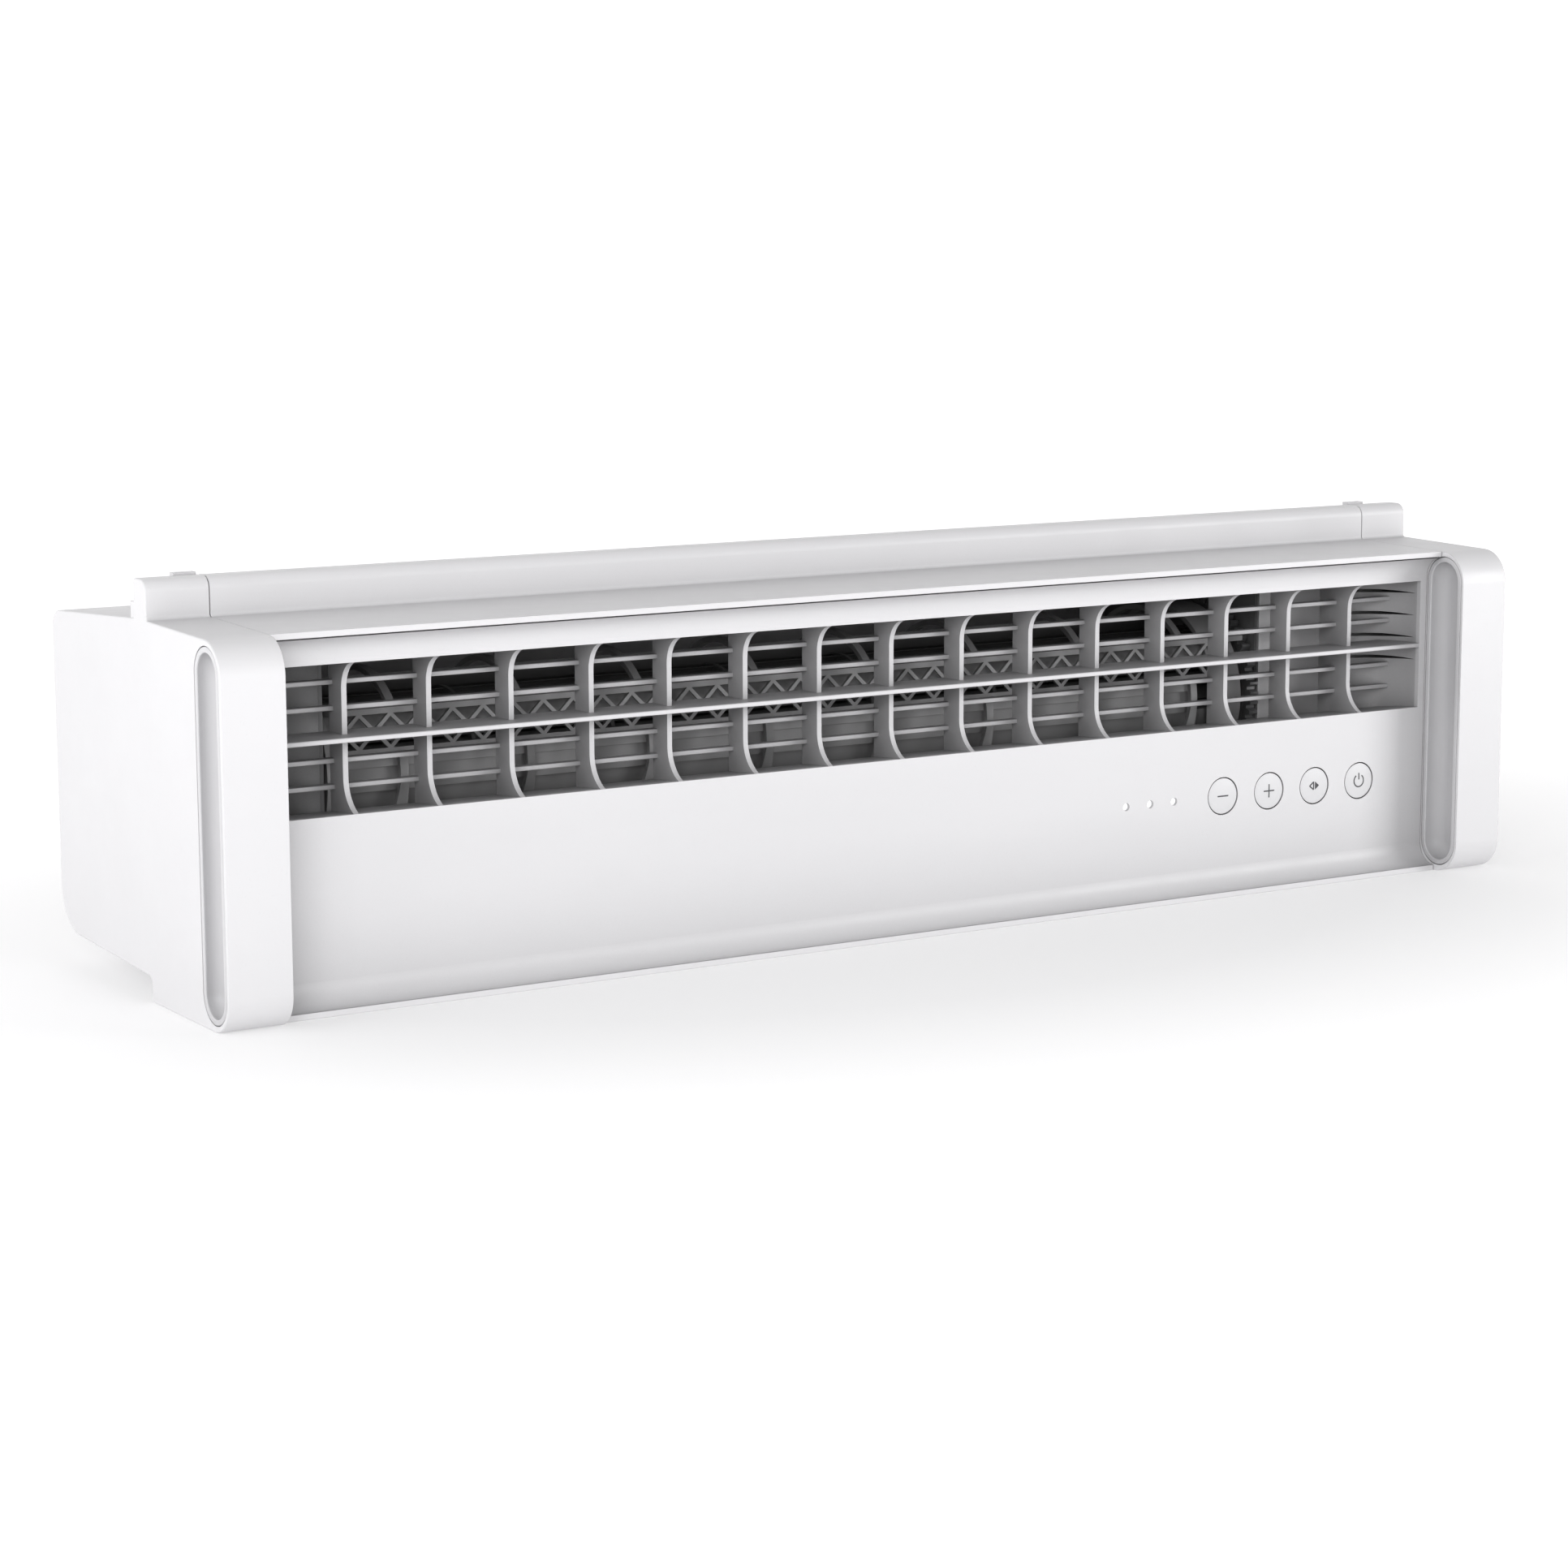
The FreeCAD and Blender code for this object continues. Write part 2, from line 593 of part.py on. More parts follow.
# ---------------------------------------------------------------- bulkheads and air seals

def bulkhead(x, inward):
    """Inner wall across the body with a hub towards the drum. inward is +1 if the drum lies towards +X."""
    plate_x = (x - BULKHEAD, x) if inward > 0 else (x, x + BULKHEAD)
    face_x = plate_x[1] if inward > 0 else plate_x[0]
    hub_x = tuple(sorted((face_x, face_x + inward * HUB_LENGTH)))
    foot_x = (face_x, face_x + FOOT) if inward > 0 else (plate_x[1], plate_x[1] + FOOT)
    clear = box((x - 50, x + 50), (BULKHEAD_FRONT, DEPTH), (-1, BULKHEAD_TOP))
    plate = body_section(plate_x, WALL + 0.3).common(clear)
    feet = []
    for depth in (FRONT_FOOT_DEPTH, BACK_FOOT_DEPTH):
        floor = 6.0 if depth == FRONT_FOOT_DEPTH else foot_places()[1][2] + 6.0
        feet.append(box(foot_x, (depth, depth + FOOT), (floor, floor + 16)))
    wall = fuse([plate, disc(hub_x, HUB_RADIUS)] + feet)
    cuts = [disc((x - 20, x + 20), BEARING_RADIUS)]
    for foot, depth, floor in foot_places():
        cuts.append(upright(foot, depth, (floor, floor + SCREW_HEAD + 0.6 + SCREW_LENGTH), SCREW_RADIUS))
        cuts.append(upright(foot, depth, (floor - 3, floor + 6.0), 5.7))
    if inward < 0:
        cuts.append(disc((x - 1, x + BULKHEAD + 1), PINION_SHAFT_RADIUS + 0.8, PINION_DEPTH, PINION_Z))
    return wall.cut(Part.makeCompound(cuts))


BAFFLE_X = (LEFT_WALL_X + 0.3, RIGHT_WALL_X - 9.0)
BAFFLE_RADIUS = 52.6
BAFFLE_THICKNESS = 2.0


def upper_baffle():
    """Rib between the deck and the top of the drum that keeps indoor and outdoor air apart."""
    deck = FLANGE_Z - WALL
    rib_d = (AXIS_DEPTH - BAFFLE_THICKNESS / 2, AXIS_DEPTH + BAFFLE_THICKNESS / 2)
    rib = box(BAFFLE_X, rib_d, (AXIS_Z + BAFFLE_RADIUS, deck))
    foot = box(BAFFLE_X, (AXIS_DEPTH - 8, AXIS_DEPTH + 8), (150.0, deck))
    inside = body_section(BAFFLE_X, WALL).common(box(BAFFLE_X, (90, 110), (120, deck)))
    ceiling = body_section(BAFFLE_X, WALL + 2).common(box(BAFFLE_X, (90, 110), (120, deck)))
    return fuse([rib.common(inside), foot.common(inside).cut(ceiling)])


def lower_baffle():
    """Rib between the floor and the bottom of the drum, with a foot on the tray."""
    rib_d = (AXIS_DEPTH - BAFFLE_THICKNESS / 2, AXIS_DEPTH + BAFFLE_THICKNESS / 2)
    rib = box(BAFFLE_X, rib_d, (0, AXIS_Z - BAFFLE_RADIUS))
    foot = box(BAFFLE_X, (AXIS_DEPTH - 8, AXIS_DEPTH + 8), (0, 30))
    inside = body_section(BAFFLE_X, WALL)
    floor = body_section(BAFFLE_X, WALL + 2)
    return fuse([rib.common(inside), foot.common(inside).cut(floor)])


# ---------------------------------------------------------------- drum

DRUM_X = (LEFT_WALL_X + 1.0, RIGHT_WALL_X - 1.0)
SCROLL_END_X = 193.0
WALL_STEPS = ((167, 173.6, HOOP_INNER_RADIUS), (173, 189.2, 38.4), (188.6, 318, 36.2))
STABILISER = (25, 62, HOOP_INNER_RADIUS)
TONGUE = (133, 152, HOOP_INNER_RADIUS)
SCROLL_THICKNESS = 2.2
LATTICE_DEPTH = 59.6
LATTICE_THICKNESS = 1.6
LATTICE_Z = (101.1, 115.7)
LATTICE_PITCH = 14.55
LATTICE_FIRST_X = -250.9
LATTICE_CELLS = 31
STRUT_HALF_WIDTH = 0.85
LOWER_CHORD = 2.0
UPPER_CHORD = 2.6
SHELF_BACK = 70.5
COLLAR_X = (202.0, 219.5)
FOOT_FLARE = 2.4
FOOT_TOP = 2.5
FOOT_END = 17.0


def arc_wall(x, start, end, outer):
    """Curved wall round the drum's axis between two angles in degrees, where 0 is outdoors and 90 is up."""
    def place(radius, angle):
        return vector(x[0], AXIS_DEPTH + radius * cos(radians(angle)), AXIS_Z + radius * sin(radians(angle)))

    inner = outer - SCROLL_THICKNESS
    middle = (start + end) / 2
    edges = [
        Part.Arc(place(outer, start), place(outer, middle), place(outer, end)),
        Part.LineSegment(place(outer, end), place(inner, end)),
        Part.Arc(place(inner, end), place(inner, middle), place(inner, start)),
        Part.LineSegment(place(inner, start), place(outer, start)),
    ]
    face = Part.Face(Part.Wire([edge.toShape() for edge in edges]))
    return face.extrude(FreeCAD.Vector(x[1] - x[0], 0, 0))


def drum_scroll():
    """Stepped wall that guides the air round the lower side of the impeller."""
    left = DRUM_X[0] + END_DISC
    ends = (SCROLL_END_X, SCROLL_END_X, DRUM_X[1] - END_DISC)
    return fuse([arc_wall((left, end_x), *step) for step, end_x in zip(WALL_STEPS, ends)])


def drum_stabiliser():
    """Short wall on the far side of the impeller, where the air turns."""
    return arc_wall((DRUM_X[0] + END_DISC, DRUM_X[1] - END_DISC), *STABILISER)


def lattice_strut(x, rise):
    """Strut across the cell of the lattice that starts at x. rise is +1 upwards to the right, -1 downwards."""
    low, high = LATTICE_Z
    start, end = (low, high) if rise > 0 else (high, low)
    slant = hypot(LATTICE_PITCH, high - low)
    across = STRUT_HALF_WIDTH * slant / LATTICE_PITCH
    corners = [
        (x, start - across),
        (x + LATTICE_PITCH, end - across),
        (x + LATTICE_PITCH, end + across),
        (x, start + across),
    ]
    points = [vector(at, LATTICE_DEPTH, z) for at, z in corners]
    face = Part.Face(Part.makePolygon(points + points[:1]))
    return face.extrude(FreeCAD.Vector(0, LATTICE_THICKNESS, 0))


def drum_lattice():
    """Finger guard along the drum: crossed diagonal struts between a lower chord and the front of a shelf."""
    low, high = LATTICE_Z
    left = DRUM_X[0] + END_DISC
    depth = (LATTICE_DEPTH, LATTICE_DEPTH + LATTICE_THICKNESS)
    lower_chord = box((left, COLLAR_X[0]), depth, (low - LOWER_CHORD, low))
    shelf = shelf_box((left, GEAR_X[0] - 1.0)).cut(disc(DRUM_X, HOOP_INNER_RADIUS))
    struts = []
    for index in range(-1, LATTICE_CELLS + 1):
        for rise in (-1, 1):
            struts.append(lattice_strut(LATTICE_FIRST_X + index * LATTICE_PITCH, rise))
    band = box((left, COLLAR_X[0]), depth, (low - LOWER_CHORD, high + UPPER_CHORD))
    return fuse([fuse(struts).common(band), lower_chord, shelf])


def drum_tongue():
    """Curved lip behind the upper half of the lattice, close to the impeller."""
    return arc_wall((DRUM_X[0] + END_DISC, COLLAR_X[0]), *TONGUE)


def drum_hoops():
    """Eight hoops round the drum, open where the lattice crosses them, with a flared foot on one side."""
    hoops = []
    for index in range(HOOP_COUNT):
        x = FIRST_HOOP_X + index * HOOP_PITCH
        span = (x - HOOP_WIDTH / 2, x + HOOP_WIDTH / 2)
        hoop = ring(span, HOOP_RADIUS, HOOP_INNER_RADIUS)
        opening = box(span, (0, SHELF_BACK), (LATTICE_Z[0] - LOWER_CHORD, LATTICE_Z[1]))
        hoops.append(hoop.cut(opening).cut(shelf_box(span)).fuse(hoop_foot(x)))
    return Part.makeCompound(hoops)


def shelf_box(x):
    """Space of the lattice's shelf between a pair of x."""
    return box(x, (LATTICE_DEPTH, SHELF_BACK), (LATTICE_Z[1], LATTICE_Z[1] + UPPER_CHORD))


def hoop_foot(x):
    """Flare at the front of a hoop, below the level of the axis, that widens downwards on its left side."""
    half = HOOP_WIDTH / 2
    top, low = AXIS_Z - FOOT_TOP, AXIS_Z - FOOT_END
    points = [
        vector(x - half, 0, top),
        vector(x + half, 0, top),
        vector(x + half, 0, low),
        vector(x - half - FOOT_FLARE, 0, low),
    ]
    flare = Part.Face(Part.makePolygon(points + points[:1])).extrude(FreeCAD.Vector(0, AXIS_DEPTH, 0))
    return flare.common(ring((x - half - FOOT_FLARE, x + half), HOOP_RADIUS, HOOP_INNER_RADIUS))


def drum_collar():
    """Plain band round the drum's right end, beside the gear."""
    return ring(COLLAR_X, HOOP_RADIUS, HOOP_INNER_RADIUS).cut(shelf_box(COLLAR_X))


def drum_end(x, with_rim):
    """End disc of the drum, seated on its bush. with_rim lets the disc pass outside the hoops' inner edge."""
    radius = HOOP_RADIUS if with_rim else HOOP_RADIUS - 2.0
    return ring(x, radius, DRUM_BORE)


def drum_bush(x):
    """Plain bearing ring between a drum end and the bulkhead's hub."""
    return ring(x, DRUM_BORE, HUB_RADIUS + RUNNING_GAP)


def involute(angle):
    return tan(angle) - angle


def gear(teeth, depth, z, x, first_tooth):
    """Spur gear along X with involute teeth, one of them centred on the angle first_tooth."""
    pitch_radius = GEAR_MODULE * teeth / 2
    base = pitch_radius * cos(PRESSURE_ANGLE)
    tip = pitch_radius + ADDENDUM * GEAR_MODULE
    root = pitch_radius - DEDENDUM * GEAR_MODULE
    half_tooth = pi / (2 * teeth) - BACKLASH / (4 * pitch_radius)
    flank_foot = max(base, root) + 0.01
    steps = 5
    flank = []
    for step in range(steps + 1):
        radius = flank_foot + (tip - flank_foot) * step / steps
        angle = half_tooth + involute(PRESSURE_ANGLE) - involute(acos(base / radius))
        flank.append((radius, angle))
    flank.insert(0, (root, flank[0][1]))
    points = []
    for tooth in range(teeth):
        centre = first_tooth + 2 * pi * tooth / teeth
        sides = [(radius, centre - angle) for radius, angle in flank]
        sides += [(radius, centre + angle) for radius, angle in flank[::-1]]
        for radius, angle in sides:
            points.append(vector(x[0], depth + radius * cos(angle), z + radius * sin(angle)))
    face = Part.Face(Part.makePolygon(points + points[:1]))
    return face.extrude(FreeCAD.Vector(x[1] - x[0], 0, 0))


GEAR_X = (DRUM_X[1] - GEAR_WIDTH, DRUM_X[1])


def ring_gear():
    """Toothed rim round the drum's right end."""
    rim = gear(RING_TEETH, AXIS_DEPTH, AXIS_Z, GEAR_X, PINION_ANGLE)
    return rim.cut(disc((GEAR_X[0] - 1, GEAR_X[1] + 1), HOOP_RADIUS - 2.0))


def drive_pinion():
    """Small gear of the reversing motor, with a gap facing the ring gear's tooth."""
    first_tooth = PINION_ANGLE + pi + pi / PINION_TEETH
    pinion = gear(PINION_TEETH, PINION_DEPTH, PINION_Z, GEAR_X, first_tooth)
    return pinion.cut(disc((GEAR_X[0] - 1, GEAR_X[1] + 1), PINION_SHAFT_RADIUS, PINION_DEPTH, PINION_Z))


GEAR_MOTOR_X = (RIGHT_WALL_X + BULKHEAD, RIGHT_WALL_X + BULKHEAD + 26.0)


def pinion_shaft():
    """Output shaft of the reversing motor."""
    return disc((GEAR_X[0] - 0.5, GEAR_MOTOR_X[0] + 8), PINION_SHAFT_RADIUS, PINION_DEPTH, PINION_Z)


def gear_motor():
    """Reversing motor: a round gear case with a mounting ear each side."""
    case = disc(GEAR_MOTOR_X, 14.0, PINION_DEPTH, PINION_Z)
    boss = disc((GEAR_MOTOR_X[1], GEAR_MOTOR_X[1] + 3), 5.0, PINION_DEPTH, PINION_Z)
    ear_x = (GEAR_MOTOR_X[0], GEAR_MOTOR_X[0] + 2)
    ears = box(ear_x, (PINION_DEPTH - 20, PINION_DEPTH + 20), (PINION_Z - 4, PINION_Z + 4))
    bore = disc((GEAR_MOTOR_X[0] - 1, GEAR_MOTOR_X[0] + 9), PINION_SHAFT_RADIUS + RUNNING_GAP, PINION_DEPTH, PINION_Z)
    holes = [disc((ear_x[0] - 1, ear_x[1] + 1), 1.2, PINION_DEPTH + side * 17, PINION_Z) for side in (-1, 1)]
    return fuse([case, boss, ears]).cut(Part.makeCompound([bore] + holes))


# ---------------------------------------------------------------- impeller and motor

IMPELLER_X = (LEFT_WALL_X + 8.0, RIGHT_WALL_X - 9.4)


def blade(index, x):
    """Forward-curved blade between the root and the rim radius."""
    turn = 2 * pi * index / BLADE_COUNT
    lean = radians(14.0)

    def place(radius, angle):
        return vector(x[0], AXIS_DEPTH + radius * cos(turn + angle), AXIS_Z + radius * sin(turn + angle))

    middle_radius = (BLADE_ROOT_RADIUS + IMPELLER_RADIUS) / 2
    thick = BLADE_THICKNESS / middle_radius
    root, middle, rim = BLADE_ROOT_RADIUS - 0.5, middle_radius, IMPELLER_RADIUS - 0.4
    back = Part.Arc(place(root, 0), place(middle, lean * 0.25), place(rim, lean))
    front = Part.Arc(place(rim, lean + thick), place(middle, lean * 0.25 + thick), place(root, thick))
    edges = [
        back,
        Part.LineSegment(place(rim, lean), place(rim, lean + thick)),
        front,
        Part.LineSegment(place(root, thick), place(root, 0)),
    ]
    face = Part.Face(Part.Wire([edge.toShape() for edge in edges]))
    return face.extrude(FreeCAD.Vector(x[1] - x[0], 0, 0))


def impeller():
    """Crossflow impeller: long curved blades held by rings, between two closed end discs with hubs."""
    left, right = IMPELLER_X
    pieces = [blade(index, IMPELLER_X) for index in range(BLADE_COUNT)]
    for index in range(1, RING_COUNT):
        x = left + (right - left) * index / RING_COUNT
        pieces.append(ring((x - RING_WIDTH / 2, x + RING_WIDTH / 2), IMPELLER_RADIUS, BLADE_ROOT_RADIUS - 1.5))
    left_hub = disc((left, left + 10), BEARING_RADIUS)
    right_hub = disc((right - 12, right), COUPLING_RADIUS + 3)
    pieces += [disc((left, left + RING_WIDTH), IMPELLER_RADIUS), left_hub]
    pieces += [disc((right - RING_WIDTH, right), IMPELLER_RADIUS), right_hub]
    bores = [disc((left - 1, left + 11), SHAFT_RADIUS), disc((right - 13, right + 1), COUPLING_RADIUS)]
    return fuse(pieces).cut(Part.makeCompound(bores))


def stub_shaft():
    """Steel stub that carries the impeller's left end."""
    return disc((LEFT_WALL_X - BULKHEAD + 0.2, IMPELLER_X[0] + 10), SHAFT_RADIUS)


def shaft_bearing():
    """Plain bearing of the stub shaft in the left bulkhead."""
    return ring((LEFT_WALL_X - BULKHEAD, LEFT_WALL_X + HUB_LENGTH), BEARING_RADIUS, SHAFT_RADIUS + RUNNING_GAP)


def shaft_coupling():
    """Rubber bush between the motor shaft and the impeller's hub."""
    return ring((IMPELLER_X[1] - 12, IMPELLER_X[1] + 1.4), COUPLING_RADIUS, SHAFT_RADIUS)


MOTOR_X = (RIGHT_WALL_X + BULKHEAD, RIGHT_WALL_X + BULKHEAD + MOTOR_LENGTH)
MOTOR_EAR = 31.5


def motor_shell():
    """Cup of the fan motor, its closed face and two ears on the bulkhead."""
    cup = ring(MOTOR_X, MOTOR_RADIUS, MOTOR_RADIUS - MOTOR_WALL)
    face = ring((MOTOR_X[0], MOTOR_X[0] + MOTOR_WALL), MOTOR_RADIUS, BEARING_RADIUS)
    ear_x = (MOTOR_X[0], MOTOR_X[0] + 2)
    ears = box(ear_x, (AXIS_DEPTH - MOTOR_EAR - 4, AXIS_DEPTH + MOTOR_EAR + 4), (AXIS_Z - 5, AXIS_Z + 5))
    ears = ears.cut(disc(ear_x, MOTOR_RADIUS - 1))
    return fuse([cup, face, ears]).cut(Part.makeCompound(motor_screw_shanks()))


def motor_screw_shanks():
    """Shanks of the motor's two screws, from the ear into the bulkhead."""
    x = (MOTOR_X[0] - BULKHEAD, MOTOR_X[0] + 2)
    return [disc(x, SCREW_RADIUS, AXIS_DEPTH + side * MOTOR_EAR, AXIS_Z) for side in (-1, 1)]


def gear_motor_screw_shanks():
    """Shanks of the reversing motor's two screws."""
    x = (MOTOR_X[0] - BULKHEAD, MOTOR_X[0] + 2)
    return [disc(x, 1.2, PINION_DEPTH + side * 17, PINION_Z) for side in (-1, 1)]


def motor_screws():
    """Two screws of the fan motor and two of the reversing motor."""
    screws = []
    for shank in motor_screw_shanks():
        centre = shank.CenterOfMass
        head = disc((MOTOR_X[0] + 2, MOTOR_X[0] + 4), SCREW_HEAD_RADIUS, centre.y + DEPTH / 2, centre.z)
        screws.append(shank.fuse(head))
    for shank in gear_motor_screw_shanks():
        centre = shank.CenterOfMass
        head = disc((MOTOR_X[0] + 2, MOTOR_X[0] + 3.6), 2.4, centre.y + DEPTH / 2, centre.z)
        screws.append(shank.fuse(head))
    return Part.makeCompound(screws)


def motor_end_cap():
    """Rear cover of the motor with a seat for its bearing."""
    plate = disc((MOTOR_X[1], MOTOR_X[1] + 2), MOTOR_RADIUS)
    seat = disc((MOTOR_X[1], MOTOR_X[1] + 7), BEARING_RADIUS + 2)
    return fuse([plate, seat]).cut(disc((MOTOR_X[1] - 1, MOTOR_X[1] + 5.5), BEARING_RADIUS))


def motor_bearings():
    """The motor's two plain bearings."""
    spans = ((MOTOR_X[0], MOTOR_X[0] + 5), (MOTOR_X[1], MOTOR_X[1] + 5))
    return Part.makeCompound([ring(span, BEARING_RADIUS, SHAFT_RADIUS + RUNNING_GAP) for span in spans])


def motor_stator():
    """Laminated ring with six poles that face the rotor."""
    x = (MOTOR_X[0] + 8, MOTOR_X[1] - 6)
    outer = MOTOR_RADIUS - MOTOR_WALL
    pieces = [ring(x, outer, outer - 3.5)]
    for index in range(6):
        pole = box(x, (AXIS_DEPTH + STATOR_BORE - 1, AXIS_DEPTH + outer - 2), (AXIS_Z - 4.5, AXIS_Z + 4.5))
        pole.rotate(vector(0, AXIS_DEPTH, AXIS_Z), FreeCAD.Vector(1, 0, 0), 60 * index)
        pieces.append(pole)
    return fuse(pieces).cut(disc(x, STATOR_BORE))


def motor_coils():
    """Six windings, one round each pole."""
    x = (MOTOR_X[0] + 5, MOTOR_X[1] - 3)
    coils = []
    for index in range(6):
        coil = box(x, (AXIS_DEPTH + 16.4, AXIS_DEPTH + 20.5), (AXIS_Z - 6.8, AXIS_Z + 6.8))
        core = box((x[0] + 3, x[1] - 3), (AXIS_DEPTH + 10, AXIS_DEPTH + 24), (AXIS_Z - 4.5, AXIS_Z + 4.5))
        coil = coil.cut(core)
        coil.rotate(vector(0, AXIS_DEPTH, AXIS_Z), FreeCAD.Vector(1, 0, 0), 60 * index)
        coils.append(coil)
    return Part.makeCompound(coils)


def motor_rotor():
    """Rotor pressed on the motor shaft."""
    return ring((MOTOR_X[0] + 8.5, MOTOR_X[1] - 6.5), ROTOR_RADIUS, SHAFT_RADIUS)


def motor_shaft():
    """Shaft from the motor's rear bearing into the impeller's coupling."""
    return disc((IMPELLER_X[1] - 11, MOTOR_X[1] + 5), SHAFT_RADIUS)


# ---------------------------------------------------------------- controls and electronics

BOARD_BACK = BOARD_DEPTH + BOARD_THICKNESS
SWITCH_BODY = 3.4
PLUNGER = 1.0


def button(x):
    """Round push button: a slightly domed cap, a stem behind it and a collar that stops it from falling out."""
    cap_back = PANEL_DEPTH + BUTTON_THICKNESS
    collar_front = PANEL_DEPTH + PANEL_THICKNESS + 0.15
    stem_back = BOARD_DEPTH - SWITCH_BODY - PLUNGER - 0.1
    cap = through_panel(x, BUTTON_RADIUS, (PANEL_DEPTH - 0.1, collar_front))
    dome = Part.makeSphere(BUTTON_DOME_RADIUS, vector(x, PANEL_DEPTH - 0.1 + BUTTON_DOME_RADIUS, BUTTON_Z))
    cap = cap.common(dome)
    collar = through_panel(x, BUTTON_RADIUS + 1.6, (collar_front, collar_front + 1.2))
    stem = through_panel(x, 2.6, (cap_back, stem_back))
    return fuse([cap, collar, stem])


def control_board():
    """Circuit board behind the control panel."""
    span = (lamp_places()[0] - 12, button_places()[3] + 14)
    return box(span, (BOARD_DEPTH, BOARD_BACK), (BUTTON_Z - 13, BUTTON_Z + 13))


def button_switches():
    """Four momentary switches, a square case with a round plunger under each button's stem."""
    switches = []
    for x in button_places():
        case = box((x - 3, x + 3), (BOARD_DEPTH - SWITCH_BODY, BOARD_DEPTH), (BUTTON_Z - 3, BUTTON_Z + 3))
        switches.append(case)
    return Part.makeCompound(switches)


def lamp_lenses():
    """Three clear light pipes from the board's lamps to the panel's face."""
    lenses = []
    for x in lamp_places():
        tip = through_panel(x, LAMP_RADIUS, (PANEL_DEPTH + LAMP_RECESS, PANEL_DEPTH + PANEL_THICKNESS))
        shoulder = through_panel(x, LAMP_RADIUS + 1.2, (PANEL_DEPTH + PANEL_THICKNESS, BOARD_DEPTH - 2.4))
        lenses.append(tip.fuse(shoulder))
    return Part.makeCompound(lenses)


def lamp_chips():
    """Three surface-mounted lamps on the board."""
    return Part.makeCompound([
        box((x - 1.6, x + 1.6), (BOARD_DEPTH - 2.0, BOARD_DEPTH), (BUTTON_Z - 1.4, BUTTON_Z + 1.4))
        for x in lamp_places()])


def power_board():
    """Supply board on its posts in the front foot of the tray."""
    return box(BOARD_X, (34.0, 76.0), (BOARD_LEVEL, BOARD_LEVEL + BOARD_THICKNESS))


def power_parts():
    """Transformer, two capacitors, a relay and a terminal block on the supply board."""
    top = BOARD_LEVEL + BOARD_THICKNESS
    left = BOARD_X[0]
    transformer = box((left + 14, left + 46), (40, 70), (top, top + 24))
    relay = box((left + 84, left + 100), (38, 50), (top, top + 15))
    terminal = box((left + 104, left + 116), (54, 72), (top, top + 10))
    capacitors = [upright(left + 60 + 14 * index, 58, (top, top + 22), 5.5) for index in range(2)]
    return Part.makeCompound([transformer, relay, terminal] + capacitors)


# ---------------------------------------------------------------- seals

def sash_gasket():
    """Foam strip on the back of the flange, for the window sash."""
    return box(BODY_X, (FLANGE_BACK, FLANGE_BACK + 2.5), (163.0, 172.0))


def sill_gasket():
    """Foam strip under the sloping floor, for the window sill."""
    slope = (BACK_BASE_Z - STEP_Z) / (DEPTH - STEP_DEPTH)
    front, back, thickness = 108.0, 122.0, 3.0
    low = STEP_Z + slope * (front - STEP_DEPTH)
    high = STEP_Z + slope * (back - STEP_DEPTH)
    return section([
        (front, low, 0),
        (front, low - thickness, 0),
        (back, high - thickness, 0),
        (back, high, 0),
    ], BODY_X)


# ---------------------------------------------------------------- assembly

def pieces():
    """Every piece of the fan, by its node's name."""
    walls = shell()
    left_end_x = (DRUM_X[0], DRUM_X[0] + END_DISC)
    right_end_x = (DRUM_X[1] - END_DISC, DRUM_X[1])
    left_sleeve = sleeve()
    left_extension = extension()
    outer_grip = grip(OUTER_X, 1)
    inner_grip = grip(INNER_X, -1)
    right_bulkhead = bulkhead(RIGHT_WALL_X, -1)
    right_bulkhead = right_bulkhead.cut(Part.makeCompound(motor_screw_shanks() + gear_motor_screw_shanks()))
    named = {
        "top_cover": top_cover(walls),
        "base_tray": base_tray(walls),
        "rear_grille": rear_grille(walls),
        "front_panel": front_panel(),
        "front_grille": front_grille(),
        "left_cheek": cheek(LEFT_CHEEK_END),
        "right_cheek": mirrored(cheek(-RIGHT_CHEEK_END)),
        "left_bulkhead": bulkhead(LEFT_WALL_X, 1),
        "right_bulkhead": right_bulkhead,
        "upper_baffle": upper_baffle(),
        "lower_baffle": lower_baffle(),
        "case_screws": case_screws(),
        "cord_gland": cord_gland(),
        "shaft_bearing": shaft_bearing(),
        "motor_shell": motor_shell(),
        "motor_end_cap": motor_end_cap(),
        "motor_bearings": motor_bearings(),
        "motor_stator": motor_stator(),
        "motor_coils": motor_coils(),
        "motor_screws": motor_screws(),
        "gear_motor": gear_motor(),
        "control_board": control_board(),
        "button_switches": button_switches(),
        "lamp_lenses": lamp_lenses(),
        "lamp_chips": lamp_chips(),
        "power_board": power_board(),
        "power_parts": power_parts(),
        "sash_gasket": sash_gasket(),
        "sill_gasket": sill_gasket(),
        "drum_scroll": drum_scroll(),
        "drum_stabiliser": drum_stabiliser(),
        "drum_hoops": drum_hoops(),
        "drum_lattice": drum_lattice(),
        "drum_tongue": drum_tongue(),
        "drum_collar": drum_collar(),
        "drum_left_end": drum_end(left_end_x, True),
        "drum_right_end": drum_end(right_end_x, False),
        "drum_left_bush": drum_bush(left_end_x),
        "drum_right_bush": drum_bush(right_end_x),
        "drum_ring_gear": ring_gear(),
        "drive_pinion": drive_pinion(),
        "pinion_shaft": pinion_shaft(),
        "impeller": impeller(),
        "stub_shaft": stub_shaft(),
        "shaft_coupling": shaft_coupling(),
        "motor_shaft": motor_shaft(),
        "motor_rotor": motor_rotor(),
        "left_sleeve": left_sleeve,
        "left_extension": left_extension,
        "left_outer_grip": outer_grip,
        "left_inner_grip": inner_grip,
        "right_sleeve": mirrored(left_sleeve),
        "right_extension": mirrored(left_extension),
        "right_outer_grip": mirrored(outer_grip),
        "right_inner_grip": mirrored(inner_grip),
    }
    names = ("minus_button", "plus_button", "reverse_button", "power_button")
    for name, x in zip(names, button_places()):
        named[name] = button(x)
    return named


